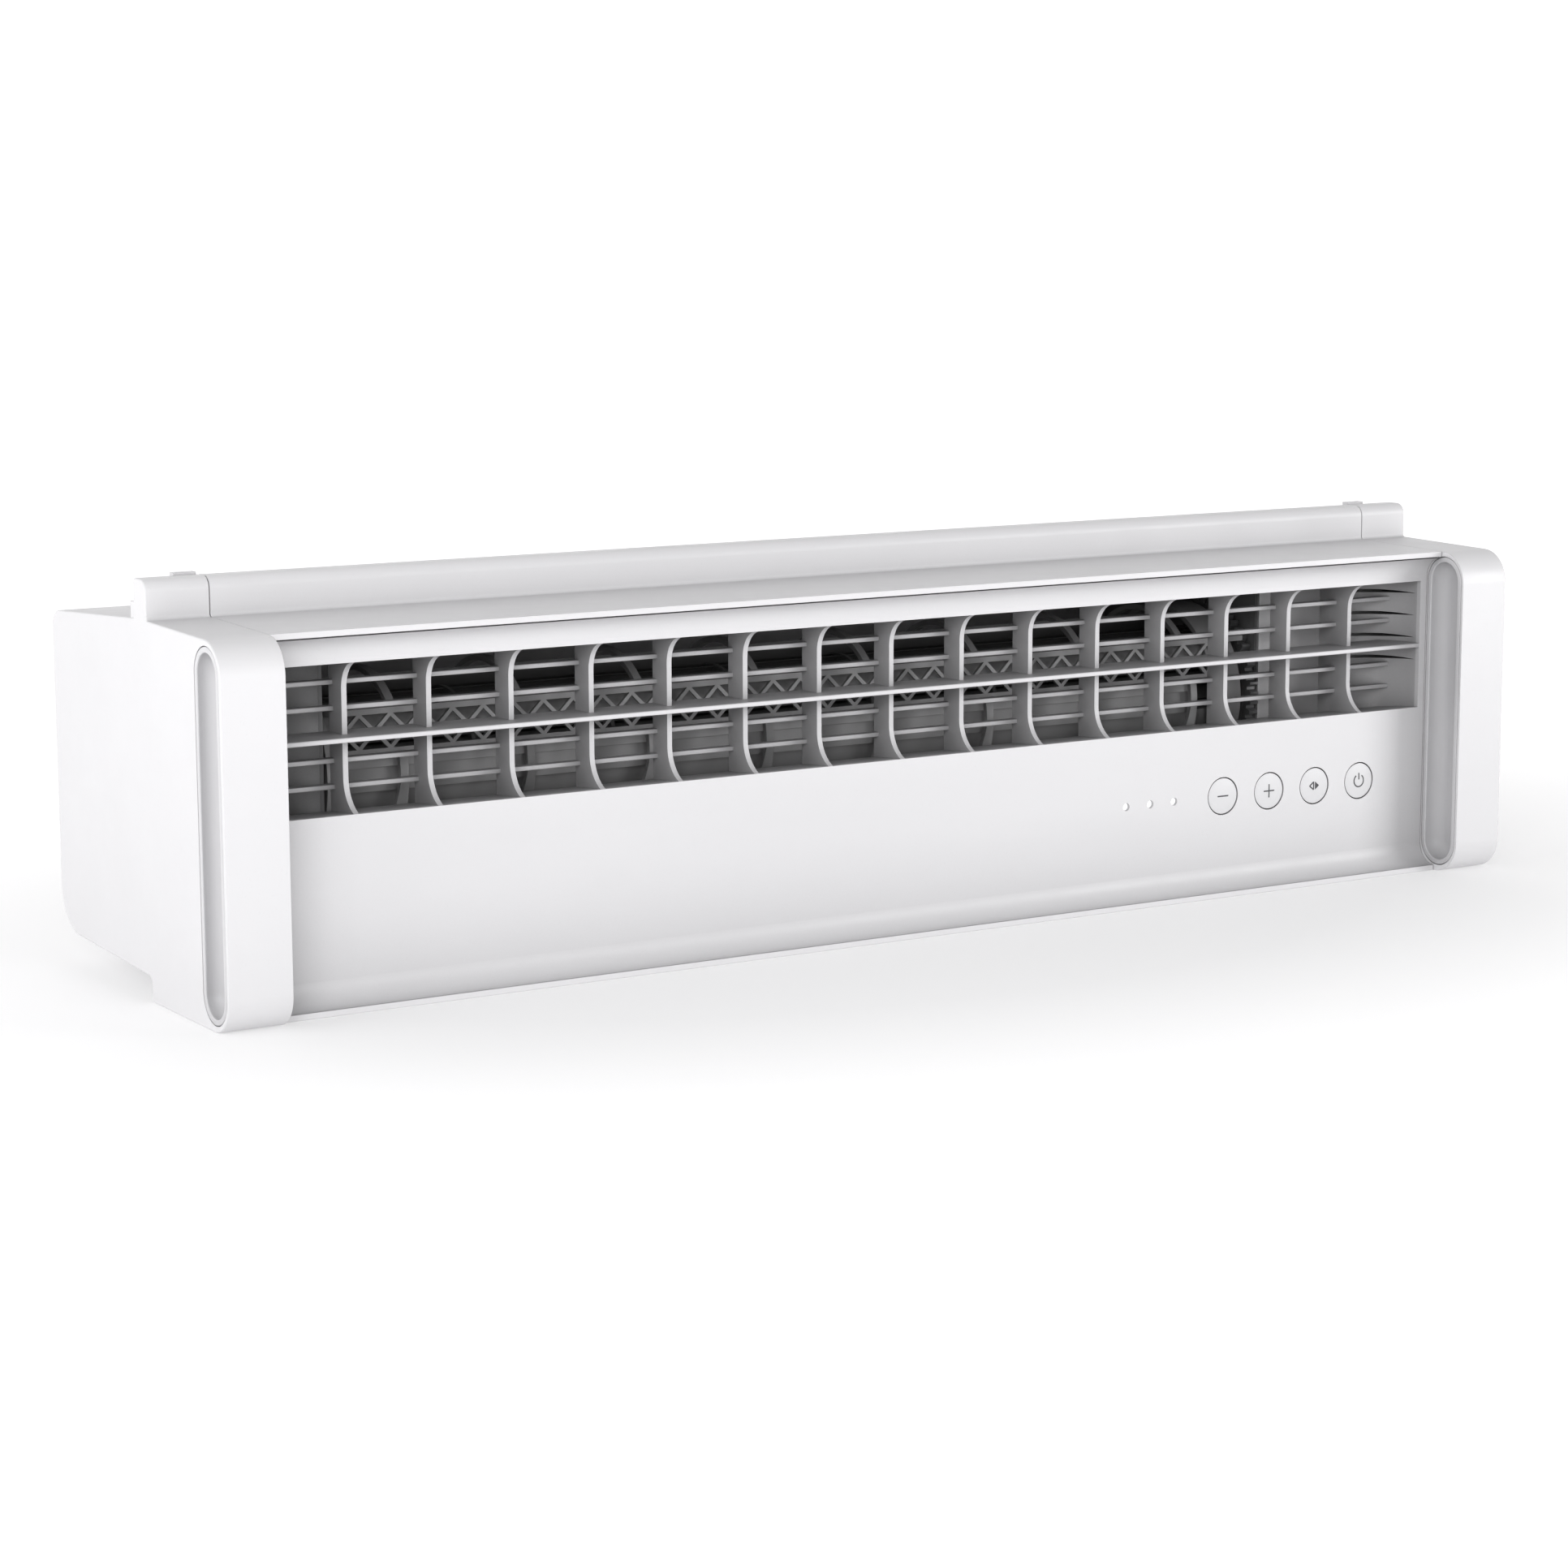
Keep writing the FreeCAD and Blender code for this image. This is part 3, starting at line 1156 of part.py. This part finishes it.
os.makedirs("parts", exist_ok=True)
for node, shape in pieces().items():
    shape.exportStep(f"parts/{node}.step")
    print(f"{node}: {len(shape.Solids)} solids, {shape.Volume / 1000:.1f} cm3, valid {shape.isValid()}")
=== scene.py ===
"""Looks for the low-profile window fan: materials, printed button icons, studio floor, soft light and camera.

Everything is in metres in the fan's own frame: +X along the body to the right, +Y outdoors, +Z up.
"""
import json
from math import cos, pi, radians, sin, sqrt, tau

import bmesh
import bpy
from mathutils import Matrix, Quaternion, Vector


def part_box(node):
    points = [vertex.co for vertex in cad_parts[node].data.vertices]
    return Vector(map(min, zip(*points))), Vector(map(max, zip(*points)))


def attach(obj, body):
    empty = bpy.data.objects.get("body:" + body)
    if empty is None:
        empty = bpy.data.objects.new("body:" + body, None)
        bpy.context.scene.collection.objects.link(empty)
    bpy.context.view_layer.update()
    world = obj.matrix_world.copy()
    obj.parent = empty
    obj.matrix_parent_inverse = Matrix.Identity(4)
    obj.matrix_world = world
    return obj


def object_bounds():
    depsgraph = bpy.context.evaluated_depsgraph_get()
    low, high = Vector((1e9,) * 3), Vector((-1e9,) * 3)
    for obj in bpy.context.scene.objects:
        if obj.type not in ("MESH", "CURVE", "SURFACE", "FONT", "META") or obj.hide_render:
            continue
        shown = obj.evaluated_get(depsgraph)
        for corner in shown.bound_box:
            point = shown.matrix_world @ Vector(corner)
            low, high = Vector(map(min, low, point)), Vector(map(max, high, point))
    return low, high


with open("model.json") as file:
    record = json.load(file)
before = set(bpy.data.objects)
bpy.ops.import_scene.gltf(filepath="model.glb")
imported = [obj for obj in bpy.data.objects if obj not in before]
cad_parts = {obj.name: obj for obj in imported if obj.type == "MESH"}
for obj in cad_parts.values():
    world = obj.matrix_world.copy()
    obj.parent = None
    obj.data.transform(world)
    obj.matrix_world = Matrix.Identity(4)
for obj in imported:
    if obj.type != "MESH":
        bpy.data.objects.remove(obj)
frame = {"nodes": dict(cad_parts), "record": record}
cad_low, cad_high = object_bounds()

MM = 0.001

# Button icons, in millimetres on the button's face
DOME_RADIUS = 90.0
PRINT_RAISE = 0.08
PRINT_SINK = 0.25
LINE = 0.55
ICON_HALF = 3.2
POWER_RING_RADIUS = 3.0
POWER_RING_GAP = radians(70)
POWER_BAR = (0.6, 3.8)
ARROW_NEAR = 0.45
ARROW_FAR = 2.9
ARROW_HALF_HEIGHT = 1.9

# Colours of the main mouldings. The listed inner walls take a painted shade colour, and the left cheek a
# greyer painted shade than the right one, for the deep shade of the bay. The cheek and dark shades are chosen
# for the look of the reference view, and are not known colours of the plastic
CASE_COLOUR = (0.65, 0.646, 0.656)
GRILLE_COLOUR = (0.62, 0.616, 0.626)
LEFT_CHEEK_SHADE_PAINT = (0.48, 0.477, 0.484)
PAINTED_WALL_SHADE = (0.24, 0.239, 0.243)
INK_COLOUR = (0.09, 0.09, 0.095)
WALLS_WITH_PAINTED_SHADE = ("left_bulkhead", "right_bulkhead", "upper_baffle", "lower_baffle")

# Camera, as a scratch program solved it from the perspective of the reference view
LENS = 81.09
SENSOR = 36.0
CAMERA_AT = (-0.8746, -1.3627, 0.3239)
CAMERA_YAW = radians(32.03)
CAMERA_PITCH = radians(9.248)
CAMERA_ROLL = radians(0.16)

# Studio. The sky's level and slope and the display gamma come from a least-squares fit of tones to the
# reference view. The softbox powers and the floor's glow started from that fit and were adjusted
FLOOR_RADIUS = 40.0
# The floor's glow is dimmed in an oval round the fan, a painted shadow, and rises to its far level further
# out
PAINTED_SHADOW_REACH = (0.30, 0.95)
PAINTED_SHADOW_SHAPE = (1.0, 1.6, 1.0)
FLOOR_COLOUR = (0.50, 0.498, 0.503)
FLOOR_GLOW_IN_PAINTED_SHADOW = 0.43
FLOOR_GLOW_FAR = 0.74
SKY_LEVEL = 0.90
SKY_SLOPE = (0.023, 0.463, -0.321)
DISPLAY_GAMMA = 0.82

# Softboxes: name, place, width and power
SOFTBOXES = (
    ("front_right_box", (2.0, -1.9, 0.6), 1.2, 27.0),
    ("front_left_box", (-1.4, -1.6, 0.8), 0.9, 15.5),
    ("left_box", (-1.6, -0.15, 0.5), 0.9, 6.9),
    ("low_front_box", (0.0, -1.6, 0.25), 0.5, 3.4),
)


# ---------------------------------------------------------------- material building blocks

class Nodes:
    """Small helper round a material's node tree."""

    def __init__(self, name):
        self.material = bpy.data.materials.new(name)
        self.material.use_nodes = True
        self.tree = self.material.node_tree
        self.shader = self.tree.nodes["Principled BSDF"]
        self.place = self.add("ShaderNodeTexCoord").outputs["Object"]

    def add(self, kind, **settings):
        """New node with its plain properties set."""
        node = self.tree.nodes.new(kind)
        for key, value in settings.items():
            setattr(node, key, value)
        return node

    def link(self, output, target):
        self.tree.links.new(output, target)

    def feed(self, target, value):
        """Link an output or set a plain value, whichever it is."""
        if isinstance(value, bpy.types.NodeSocket):
            self.link(value, target)
        else:
            target.default_value = value

    def noise(self, scale, detail=3.0, roughness=0.5, place=None):
        node = self.add("ShaderNodeTexNoise")
        self.link(place or self.place, node.inputs["Vector"])
        node.inputs["Scale"].default_value = scale
        node.inputs["Detail"].default_value = detail
        node.inputs["Roughness"].default_value = roughness
        return node.outputs["Fac"]

    def cells(self, scale, feature="F1"):
        node = self.add("ShaderNodeTexVoronoi", feature=feature)
        self.link(self.place, node.inputs["Vector"])
        node.inputs["Scale"].default_value = scale
        return node.outputs["Distance"]

    def waves(self, scale, direction, distortion=0.0):
        node = self.add("ShaderNodeTexWave", bands_direction=direction)
        self.link(self.place, node.inputs["Vector"])
        node.inputs["Scale"].default_value = scale
        node.inputs["Distortion"].default_value = distortion
        return node.outputs["Fac"]

    def stretched(self, scale):
        """Object coordinates scaled by a factor along each axis."""
        node = self.add("ShaderNodeMapping")
        self.link(self.place, node.inputs["Vector"])
        node.inputs["Scale"].default_value = scale
        return node.outputs["Vector"]

    def spread(self, value, low, high, source=(0.0, 1.0)):
        """Value from one range mapped to another, clamped."""
        node = self.add("ShaderNodeMapRange")
        self.feed(node.inputs["Value"], value)
        node.inputs["From Min"].default_value = source[0]
        node.inputs["From Max"].default_value = source[1]
        node.inputs["To Min"].default_value = low
        node.inputs["To Max"].default_value = high
        return node.outputs["Result"]

    def math(self, operation, first, second):
        node = self.add("ShaderNodeMath", operation=operation)
        self.feed(node.inputs[0], first)
        self.feed(node.inputs[1], second)
        return node.outputs["Value"]

    def mix(self, factor, first, second):
        """Blend of two colours."""
        node = self.add("ShaderNodeMix", data_type="RGBA")
        self.feed(node.inputs[0], factor)
        self.feed(node.inputs[6], first if isinstance(first, bpy.types.NodeSocket) else rgba(first))
        self.feed(node.inputs[7], second if isinstance(second, bpy.types.NodeSocket) else rgba(second))
        return node.outputs[2]

    def bump(self, height, strength, distance, normal=None):
        node = self.add("ShaderNodeBump")
        self.link(height, node.inputs["Height"])
        node.inputs["Strength"].default_value = strength
        node.inputs["Distance"].default_value = distance
        if normal is not None:
            self.link(normal, node.inputs["Normal"])
        return node.outputs["Normal"]

    def soft_edges(self, radius):
        """Normal rounded over the sharp edges of the moulding."""
        node = self.add("ShaderNodeBevel", samples=4)
        node.inputs["Radius"].default_value = radius
        return node.outputs["Normal"]

    def edge_mask(self, rounded):
        """Zero on flat ground, rising towards one at edges, where the rounded normal leaves the true one."""
        true_normal = self.add("ShaderNodeNewGeometry").outputs["Normal"]
        dot = self.add("ShaderNodeVectorMath", operation="DOT_PRODUCT")
        self.link(rounded, dot.inputs[0])
        self.link(true_normal, dot.inputs[1])
        return self.spread(dot.outputs["Value"], 1.0, 0.0, (0.7, 1.0))

    def shade_paint_mask(self, reach, alone):
        """Painted shade: zero on open ground, rising towards one deep in gaps and corners narrower than the
        reach.

        With alone, only the piece's own walls count.
        """
        node = self.add("ShaderNodeAmbientOcclusion", samples=4, only_local=alone)
        node.inputs["Distance"].default_value = reach
        return self.spread(node.outputs["AO"], 1.0, 0.0, (0.25, 0.95))

    def finish(self, colour, roughness, normal, **plain):
        """Connect the shader and set its uniform values straight on its own sockets."""
        self.feed(self.shader.inputs["Base Color"], colour)
        self.feed(self.shader.inputs["Roughness"], roughness)
        self.link(normal, self.shader.inputs["Normal"])
        for key, value in plain.items():
            self.shader.inputs[key.replace("_", " ")].default_value = value
        return self.material


def rgba(colour):
    return (colour[0], colour[1], colour[2], 1.0)


def tinted(colour, factor):
    return tuple(min(1.0, channel * factor) for channel in colour)


def moulded(name, colour, roughness, edge=0.0005, grain=0.25, painted_shade=0.3, reach=0.03, alone=False):
    """Moulded plastic: satin grain, faint flow marks, handling gloss, paler smoother edges, and painted shade
    that darkens its hollows.
    """
    n = Nodes(name)
    rounded = n.soft_edges(edge)
    worn = n.edge_mask(rounded)
    flow = n.noise(1.0, 4.0, 0.6, n.stretched((4.0, 18.0, 18.0)))
    speck = n.noise(900.0, 2.0)
    ground = n.mix(n.spread(flow, 0.0, 1.0, (0.3, 0.7)), tinted(colour, 0.985), tinted(colour, 1.01))
    ground = n.mix(n.spread(speck, 0.0, 0.35, (0.62, 0.8)), ground, tinted(colour, 0.93))
    ground = n.mix(n.math("MULTIPLY", worn, 0.35), ground, tinted(colour, 1.06))
    # Painted shade: the colour darkens towards a third of itself in gaps and corners, where shade falls
    ground = n.mix(n.math("MULTIPLY", n.shade_paint_mask(reach, alone), painted_shade), ground, tinted(colour, 0.35))
    handled = n.spread(n.noise(35.0, 5.0, 0.65), roughness - 0.05, roughness + 0.06, (0.3, 0.7))
    rough = n.math("SUBTRACT", handled, n.math("MULTIPLY", worn, 0.08))
    pores = n.bump(n.noise(2600.0, 2.0), grain, 0.00004, rounded)
    normal = n.bump(n.noise(60.0, 2.0), 0.05, 0.0002, pores)
    return n.finish(ground, rough, normal, IOR=1.5)


def metal(name, colour, roughness, stretch, depth=0.00002):
    """Bare or plated metal with fine marks along one direction and dull stains."""
    n = Nodes(name)
    rounded = n.soft_edges(0.0003)
    marks = n.noise(1.0, 4.0, 0.7, n.stretched(stretch))
    stain = n.noise(90.0, 5.0, 0.6)
    ground = n.mix(n.spread(marks, 0.0, 1.0, (0.3, 0.7)), tinted(colour, 0.85), tinted(colour, 1.1))
    ground = n.mix(n.spread(stain, 0.0, 0.5, (0.5, 0.8)), ground, tinted(colour, 0.6))
    rough = n.spread(stain, roughness - 0.06, roughness + 0.15, (0.3, 0.75))
    return n.finish(ground, rough, n.bump(marks, 0.3, depth, rounded), Metallic=1.0)


def laminated(name, colour):
    """Edges of stacked electrical sheet, half a millimetre thick."""
    n = Nodes(name)
    sheets = n.waves(310.0, "X")
    rust = n.noise(220.0, 5.0, 0.7)
    ground = n.mix(sheets, tinted(colour, 0.7), colour)
    ground = n.mix(n.spread(rust, 0.0, 0.6, (0.55, 0.8)), ground, (0.16, 0.10, 0.07))
    return n.finish(ground, n.spread(rust, 0.35, 0.6), n.bump(sheets, 0.6, 0.0002), Metallic=0.8)


def wound(name, colour):
    """Enamelled wire laid side by side along the slot."""
    n = Nodes(name)
    turns = n.waves(420.0, "Z", 2.0)
    shade = n.noise(150.0, 3.0)
    ground = n.mix(n.spread(shade, 0.0, 1.0, (0.3, 0.7)), tinted(colour, 0.75), tinted(colour, 1.15))
    rough = n.spread(shade, 0.2, 0.4)
    return n.finish(ground, rough, n.bump(turns, 0.8, 0.0003), Metallic=0.7, Coat_Weight=0.4)


def circuit_board(name, colour):
    """Solder mask over copper tracks, with bare pads."""
    n = Nodes(name)
    tracks = n.spread(n.cells(330.0, "DISTANCE_TO_EDGE"), 1.0, 0.0, (0.06, 0.1))
    pads = n.spread(n.cells(170.0), 1.0, 0.0, (0.07, 0.1))
    weave = n.noise(700.0, 2.0)
    ground = n.mix(tracks, colour, tinted(colour, 1.5))
    ground = n.mix(pads, ground, (0.70, 0.68, 0.62))
    return n.finish(ground, n.spread(weave, 0.25, 0.4), n.bump(tracks, 0.4, 0.00005), Coat_Weight=0.3)


def rubber(name, colour):
    """Soft matt rubber with a patchy paler bloom."""
    n = Nodes(name)
    bloom = n.noise(140.0, 5.0, 0.65)
    ground = n.mix(n.spread(bloom, 0.0, 0.5, (0.45, 0.8)), colour, tinted(colour, 2.2))
    return n.finish(ground, n.spread(bloom, 0.65, 0.85), n.bump(n.noise(1800.0, 2.0), 0.4, 0.00005))


def foam(name, colour):
    """Cut closed-cell foam: open round cells about half a millimetre across."""
    n = Nodes(name)
    cells = n.cells(1700.0)
    patches = n.noise(200.0, 4.0)
    ground = n.mix(n.spread(cells, 0.0, 1.0, (0.1, 0.55)), tinted(colour, 0.5), tinted(colour, 1.25))
    ground = n.mix(n.spread(patches, 0.0, 0.4, (0.4, 0.8)), ground, tinted(colour, 1.6))
    return n.finish(ground, 0.92, n.bump(cells, 0.9, 0.0003), Sheen_Weight=0.2)


def lens(name, colour):
    """Lamp window with a slight frost, given a faint painted glow."""
    n = Nodes(name)
    frost = n.noise(1500.0, 2.0)
    ground = n.mix(n.spread(frost, 0.0, 0.3), colour, tinted(colour, 0.92))
    rough = n.spread(frost, 0.12, 0.3)
    # Painted glow: the window glows faintly, though the lamp is not known to be lit
    glow = {"Emission_Color": (1.0, 1.0, 1.0, 1.0), "Emission_Strength": 0.35}
    return n.finish(ground, rough, n.bump(frost, 0.15, 0.00003), Transmission_Weight=0.2, **glow)


def printed(name, colour):
    """Pad-printed ink, a little uneven at the edges of its dots."""
    n = Nodes(name)
    dots = n.noise(5200.0, 2.0)
    ground = n.mix(n.spread(dots, 0.0, 0.5, (0.45, 0.75)), colour, tinted(colour, 1.35))
    return n.finish(ground, n.spread(dots, 0.45, 0.65), n.bump(dots, 0.2, 0.00002))


def slot_materials():
    """One finished material for each material slot of the record."""
    return {
        # The last figures of each moulded plastic set its painted shade in hollows, strongest for the
        # buttons' gaps and the grille
        "case_plastic": moulded("case_plastic", CASE_COLOUR, 0.42, painted_shade=0.25, alone=True),
        "grille_plastic": moulded("grille_plastic", GRILLE_COLOUR, 0.45, 0.0002, painted_shade=0.7, reach=0.045),
        "grip_plastic": moulded("grip_plastic", (0.58, 0.577, 0.588), 0.45, 0.0004),
        "button_plastic": moulded("button_plastic", (0.64, 0.638, 0.648), 0.32, 0.00012, 0.1, 0.9),
        "inner_plastic": moulded("inner_plastic", (0.52, 0.518, 0.525), 0.5, 0.0004),
        "drum_plastic": moulded("drum_plastic", (0.36, 0.358, 0.362), 0.5, 0.0003),
        "gear_plastic": moulded("gear_plastic", (0.16, 0.16, 0.162), 0.4, 0.0002),
        "impeller_plastic": moulded("impeller_plastic", (0.20, 0.20, 0.202), 0.4, 0.0002),
        "component_black": moulded("component_black", (0.03, 0.03, 0.032), 0.5, 0.0002),
        "steel": metal("steel", (0.58, 0.58, 0.59), 0.3, (30.0, 900.0, 900.0)),
        "motor_steel": metal("motor_steel", (0.50, 0.51, 0.53), 0.38, (160.0, 160.0, 160.0)),
        "bronze": metal("bronze", (0.55, 0.40, 0.22), 0.45, (1200.0, 1200.0, 1200.0)),
        "lamination": laminated("lamination", (0.34, 0.34, 0.36)),
        "copper": wound("copper", (0.62, 0.28, 0.12)),
        "circuit_board": circuit_board("circuit_board", (0.03, 0.16, 0.07)),
        "clear_plastic": lens("clear_plastic", (0.86, 0.862, 0.87)),
        "lamp_white": moulded("lamp_white", (0.82, 0.82, 0.76), 0.3, 0.0001),
        "rubber": rubber("rubber", (0.025, 0.025, 0.026)),
        "foam": foam("foam", (0.10, 0.10, 0.105)),
    }


def dress_nodes():
    """Give every CAD node the material of its slot, or a grade where it has one: the panel's, and the painted
    shade of the inner walls and left cheek.
    """
    materials = slot_materials()
    # Painted shade: the inner walls take a dark grey that stands in for the shade deep in the bay
    grades = dict.fromkeys(WALLS_WITH_PAINTED_SHADE, moulded("inner_wall_shade_paint", PAINTED_WALL_SHADE, 0.5, 0.0004))
    # The panel takes a stronger painted shade, reaching further, in its coves and corners
    grades["front_panel"] = moulded("panel_plastic", CASE_COLOUR, 0.42, 0.0001, painted_shade=0.38, reach=0.05)
    # Painted shade: the left cheek is greyer than the right one, standing in for the shade of the bay
    grades["left_cheek"] = moulded("left_cheek_shade_paint", LEFT_CHEEK_SHADE_PAINT, 0.45, 0.0002, painted_shade=0.8, reach=0.045)
    for part in frame["record"]["subparts"]:
        node = frame["nodes"][part["node"]]
        material = grades.get(part["node"], materials[part["material_slot"]])
        if not node.material_slots:
            node.data.materials.append(material)
        for place in node.material_slots:
            place.material = material


# ---------------------------------------------------------------- button icons

def dome_depth(x, z):
    """How far the domed face falls back at a point x, z millimetres from the button's centre."""
    return DOME_RADIUS - sqrt(DOME_RADIUS ** 2 - x * x - z * z)


def bar_strip(start, end, width=LINE, steps=6):
    """Straight stroke between two points, as pairs of points across its width."""
    first, last = Vector(start), Vector(end)
    along = last - first
    side = Vector((-along.y, along.x)).normalized() * width / 2
    places = [first + along * i / steps for i in range(steps + 1)]
    return [(place - side, place + side) for place in places]


def ring_strip(radius, gap, width=LINE, steps=36):
    """Ring, open at the top over the gap angle, as pairs of points across its width."""
    first = pi / 2 + gap / 2
    turns = [first + (tau - gap) * i / steps for i in range(steps + 1)]
    ways = [Vector((cos(turn), sin(turn))) for turn in turns]
    return [(way * (radius + width / 2), way * (radius - width / 2)) for way in ways]


def outline_strips(points):
    """Closed line through the points, one stroke for each side."""
    return [bar_strip(a, b) for a, b in zip(points, points[1:] + points[:1])]


def filled_strip(base_low, base_high, tip, steps=6):
    """Filled triangle between two base points and a tip, narrowing to a short flat end."""
    low, high, end = Vector(base_low), Vector(base_high), Vector(tip)
    shares = [0.97 * i / steps for i in range(steps + 1)]
    return [(low.lerp(end, share), high.lerp(end, share)) for share in shares]


def arrow_head(direction):
    """Corners of a triangle beside the middle that points left (-1) or right (+1)."""
    near, far = direction * ARROW_NEAR, direction * ARROW_FAR
    return [(near, -ARROW_HALF_HEIGHT), (near, ARROW_HALF_HEIGHT), (far, 0.0)]


def print_icon(name, button, strips):
    """Thin printed shape that follows the button's dome and moves with it."""
    low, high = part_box(button)
    centre = (low + high) / 2 / MM
    face = low.y / MM
    mesh = bmesh.new()

    def corner(point, lift):
        depth = face + dome_depth(point[0], point[1]) + lift
        return mesh.verts.new(Vector((centre.x + point[0], depth, centre.z + point[1])) * MM)

    for strip in strips:
        rows = [
            (corner(a, -PRINT_RAISE), corner(b, -PRINT_RAISE), corner(b, PRINT_SINK), corner(a, PRINT_SINK))
            for a, b in strip
        ]
        mesh.faces.new(rows[0])
        mesh.faces.new(rows[-1])
        for row, after in zip(rows, rows[1:]):
            for i in range(4):
                j = (i + 1) % 4
                mesh.faces.new((row[i], row[j], after[j], after[i]))
    bmesh.ops.recalc_face_normals(mesh, faces=mesh.faces)
    data = bpy.data.meshes.new(name)
    mesh.to_mesh(data)
    mesh.free()
    icon = bpy.data.objects.new(name, data)
    bpy.context.collection.objects.link(icon)
    data.materials.append(ink)
    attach(icon, button)


def print_icons():
    """Minus, plus, reverse and power signs on the four buttons."""
    across = [bar_strip((-ICON_HALF, 0.0), (ICON_HALF, 0.0))]
    upper = [bar_strip((0.0, LINE / 2), (0.0, ICON_HALF))]
    lower = [bar_strip((0.0, -LINE / 2), (0.0, -ICON_HALF))]
    power_bar = bar_strip((0.0, POWER_BAR[0]), (0.0, POWER_BAR[1]))
    print_icon("minus_print", "minus_button", across)
    print_icon("plus_print", "plus_button", across + upper + lower)
    arrows = outline_strips(arrow_head(-1)) + [filled_strip(*arrow_head(1))]
    print_icon("reverse_print", "reverse_button", arrows)
    print_icon("power_print", "power_button", [ring_strip(POWER_RING_RADIUS, POWER_RING_GAP), power_bar])


# ---------------------------------------------------------------- studio

def floor():
    """Pale glowing floor that reaches far past the view on every side, its glow dimmed round the fan in a
    painted shadow.
    """
    mesh = bmesh.new()
    bmesh.ops.create_circle(mesh, cap_ends=True, segments=64, radius=FLOOR_RADIUS)
    data = bpy.data.meshes.new("floor")
    mesh.to_mesh(data)
    mesh.free()
    ground = bpy.data.objects.new("floor", data)
    ground.location.z = cad_low.z
    bpy.context.collection.objects.link(ground)
    n = Nodes("floor_paint")
    shade = n.noise(3.0, 2.0)
    colour = n.mix(shade, tinted(FLOOR_COLOUR, 0.99), tinted(FLOOR_COLOUR, 1.01))
    # Painted shadow: the glow is dimmed in an oval round the fan, rising to its far level further out
    away = n.add("ShaderNodeVectorMath", operation="LENGTH")
    n.link(n.stretched(PAINTED_SHADOW_SHAPE), away.inputs[0])
    glow = n.spread(away.outputs["Value"], FLOOR_GLOW_IN_PAINTED_SHADOW, FLOOR_GLOW_FAR, PAINTED_SHADOW_REACH)
    n.link(glow, n.shader.inputs["Emission Strength"])
    data.materials.append(n.finish(
        colour, 0.9, n.bump(shade, 0.02, 0.001), Specular_IOR_Level=0.1, Emission_Color=(1.0, 1.0, 1.0, 1.0)))


def softbox(name, place, target, width, power):
    """Square area lamp of a width, at a place, aimed at a target."""
    light = bpy.data.lights.new(name, "AREA")
    light.size = width
    light.energy = power
    lamp = bpy.data.objects.new(name, light)
    bpy.context.collection.objects.link(lamp)
    lamp.location = place
    aim = Vector(target) - Vector(place)
    lamp.rotation_euler = aim.to_track_quat("-Z", "Y").to_euler()


def sky():
    """Pale surroundings that brighten smoothly towards the back and downwards."""
    world = bpy.data.worlds.new("studio")
    world.use_nodes = True
    tree = world.node_tree
    background = tree.nodes["Background"]
    background.inputs["Color"].default_value = (1.0, 0.998, 1.0, 1.0)
    direction = tree.nodes.new("ShaderNodeTexCoord")
    slope = tree.nodes.new("ShaderNodeVectorMath")
    slope.operation = "DOT_PRODUCT"
    slope.inputs[1].default_value = SKY_SLOPE
    level = tree.nodes.new("ShaderNodeMath")
    level.operation = "ADD"
    level.inputs[1].default_value = SKY_LEVEL
    tree.links.new(direction.outputs["Generated"], slope.inputs[0])
    tree.links.new(slope.outputs["Value"], level.inputs[0])
    tree.links.new(level.outputs["Value"], background.inputs["Strength"])
    bpy.context.scene.world = world


def lighting():
    """Broad softboxes from the front, low and to both sides, inside the pale surroundings."""
    sky()
    middle = (cad_low + cad_high) / 2
    for name, place, width, power in SOFTBOXES:
        softbox(name, place, middle, width, power)


def camera():
    """View from the front left and a little above."""
    data = bpy.data.cameras.new("camera")
    data.sensor_width = SENSOR
    data.lens = LENS
    view = bpy.data.objects.new("camera", data)
    bpy.context.collection.objects.link(view)
    level = cos(CAMERA_PITCH)
    ahead = Vector((sin(CAMERA_YAW) * level, cos(CAMERA_YAW) * level, -sin(CAMERA_PITCH)))
    view.location = CAMERA_AT
    view.rotation_mode = "QUATERNION"
    view.rotation_quaternion = ahead.to_track_quat("-Z", "Y") @ Quaternion((0, 0, 1), -CAMERA_ROLL)
    bpy.context.scene.camera = view


dress_nodes()
ink = printed("print_grey", INK_COLOUR)
print_icons()
floor()
lighting()
camera()
bpy.context.scene.view_settings.view_transform = "Standard"
bpy.context.scene.view_settings.gamma = DISPLAY_GAMMA
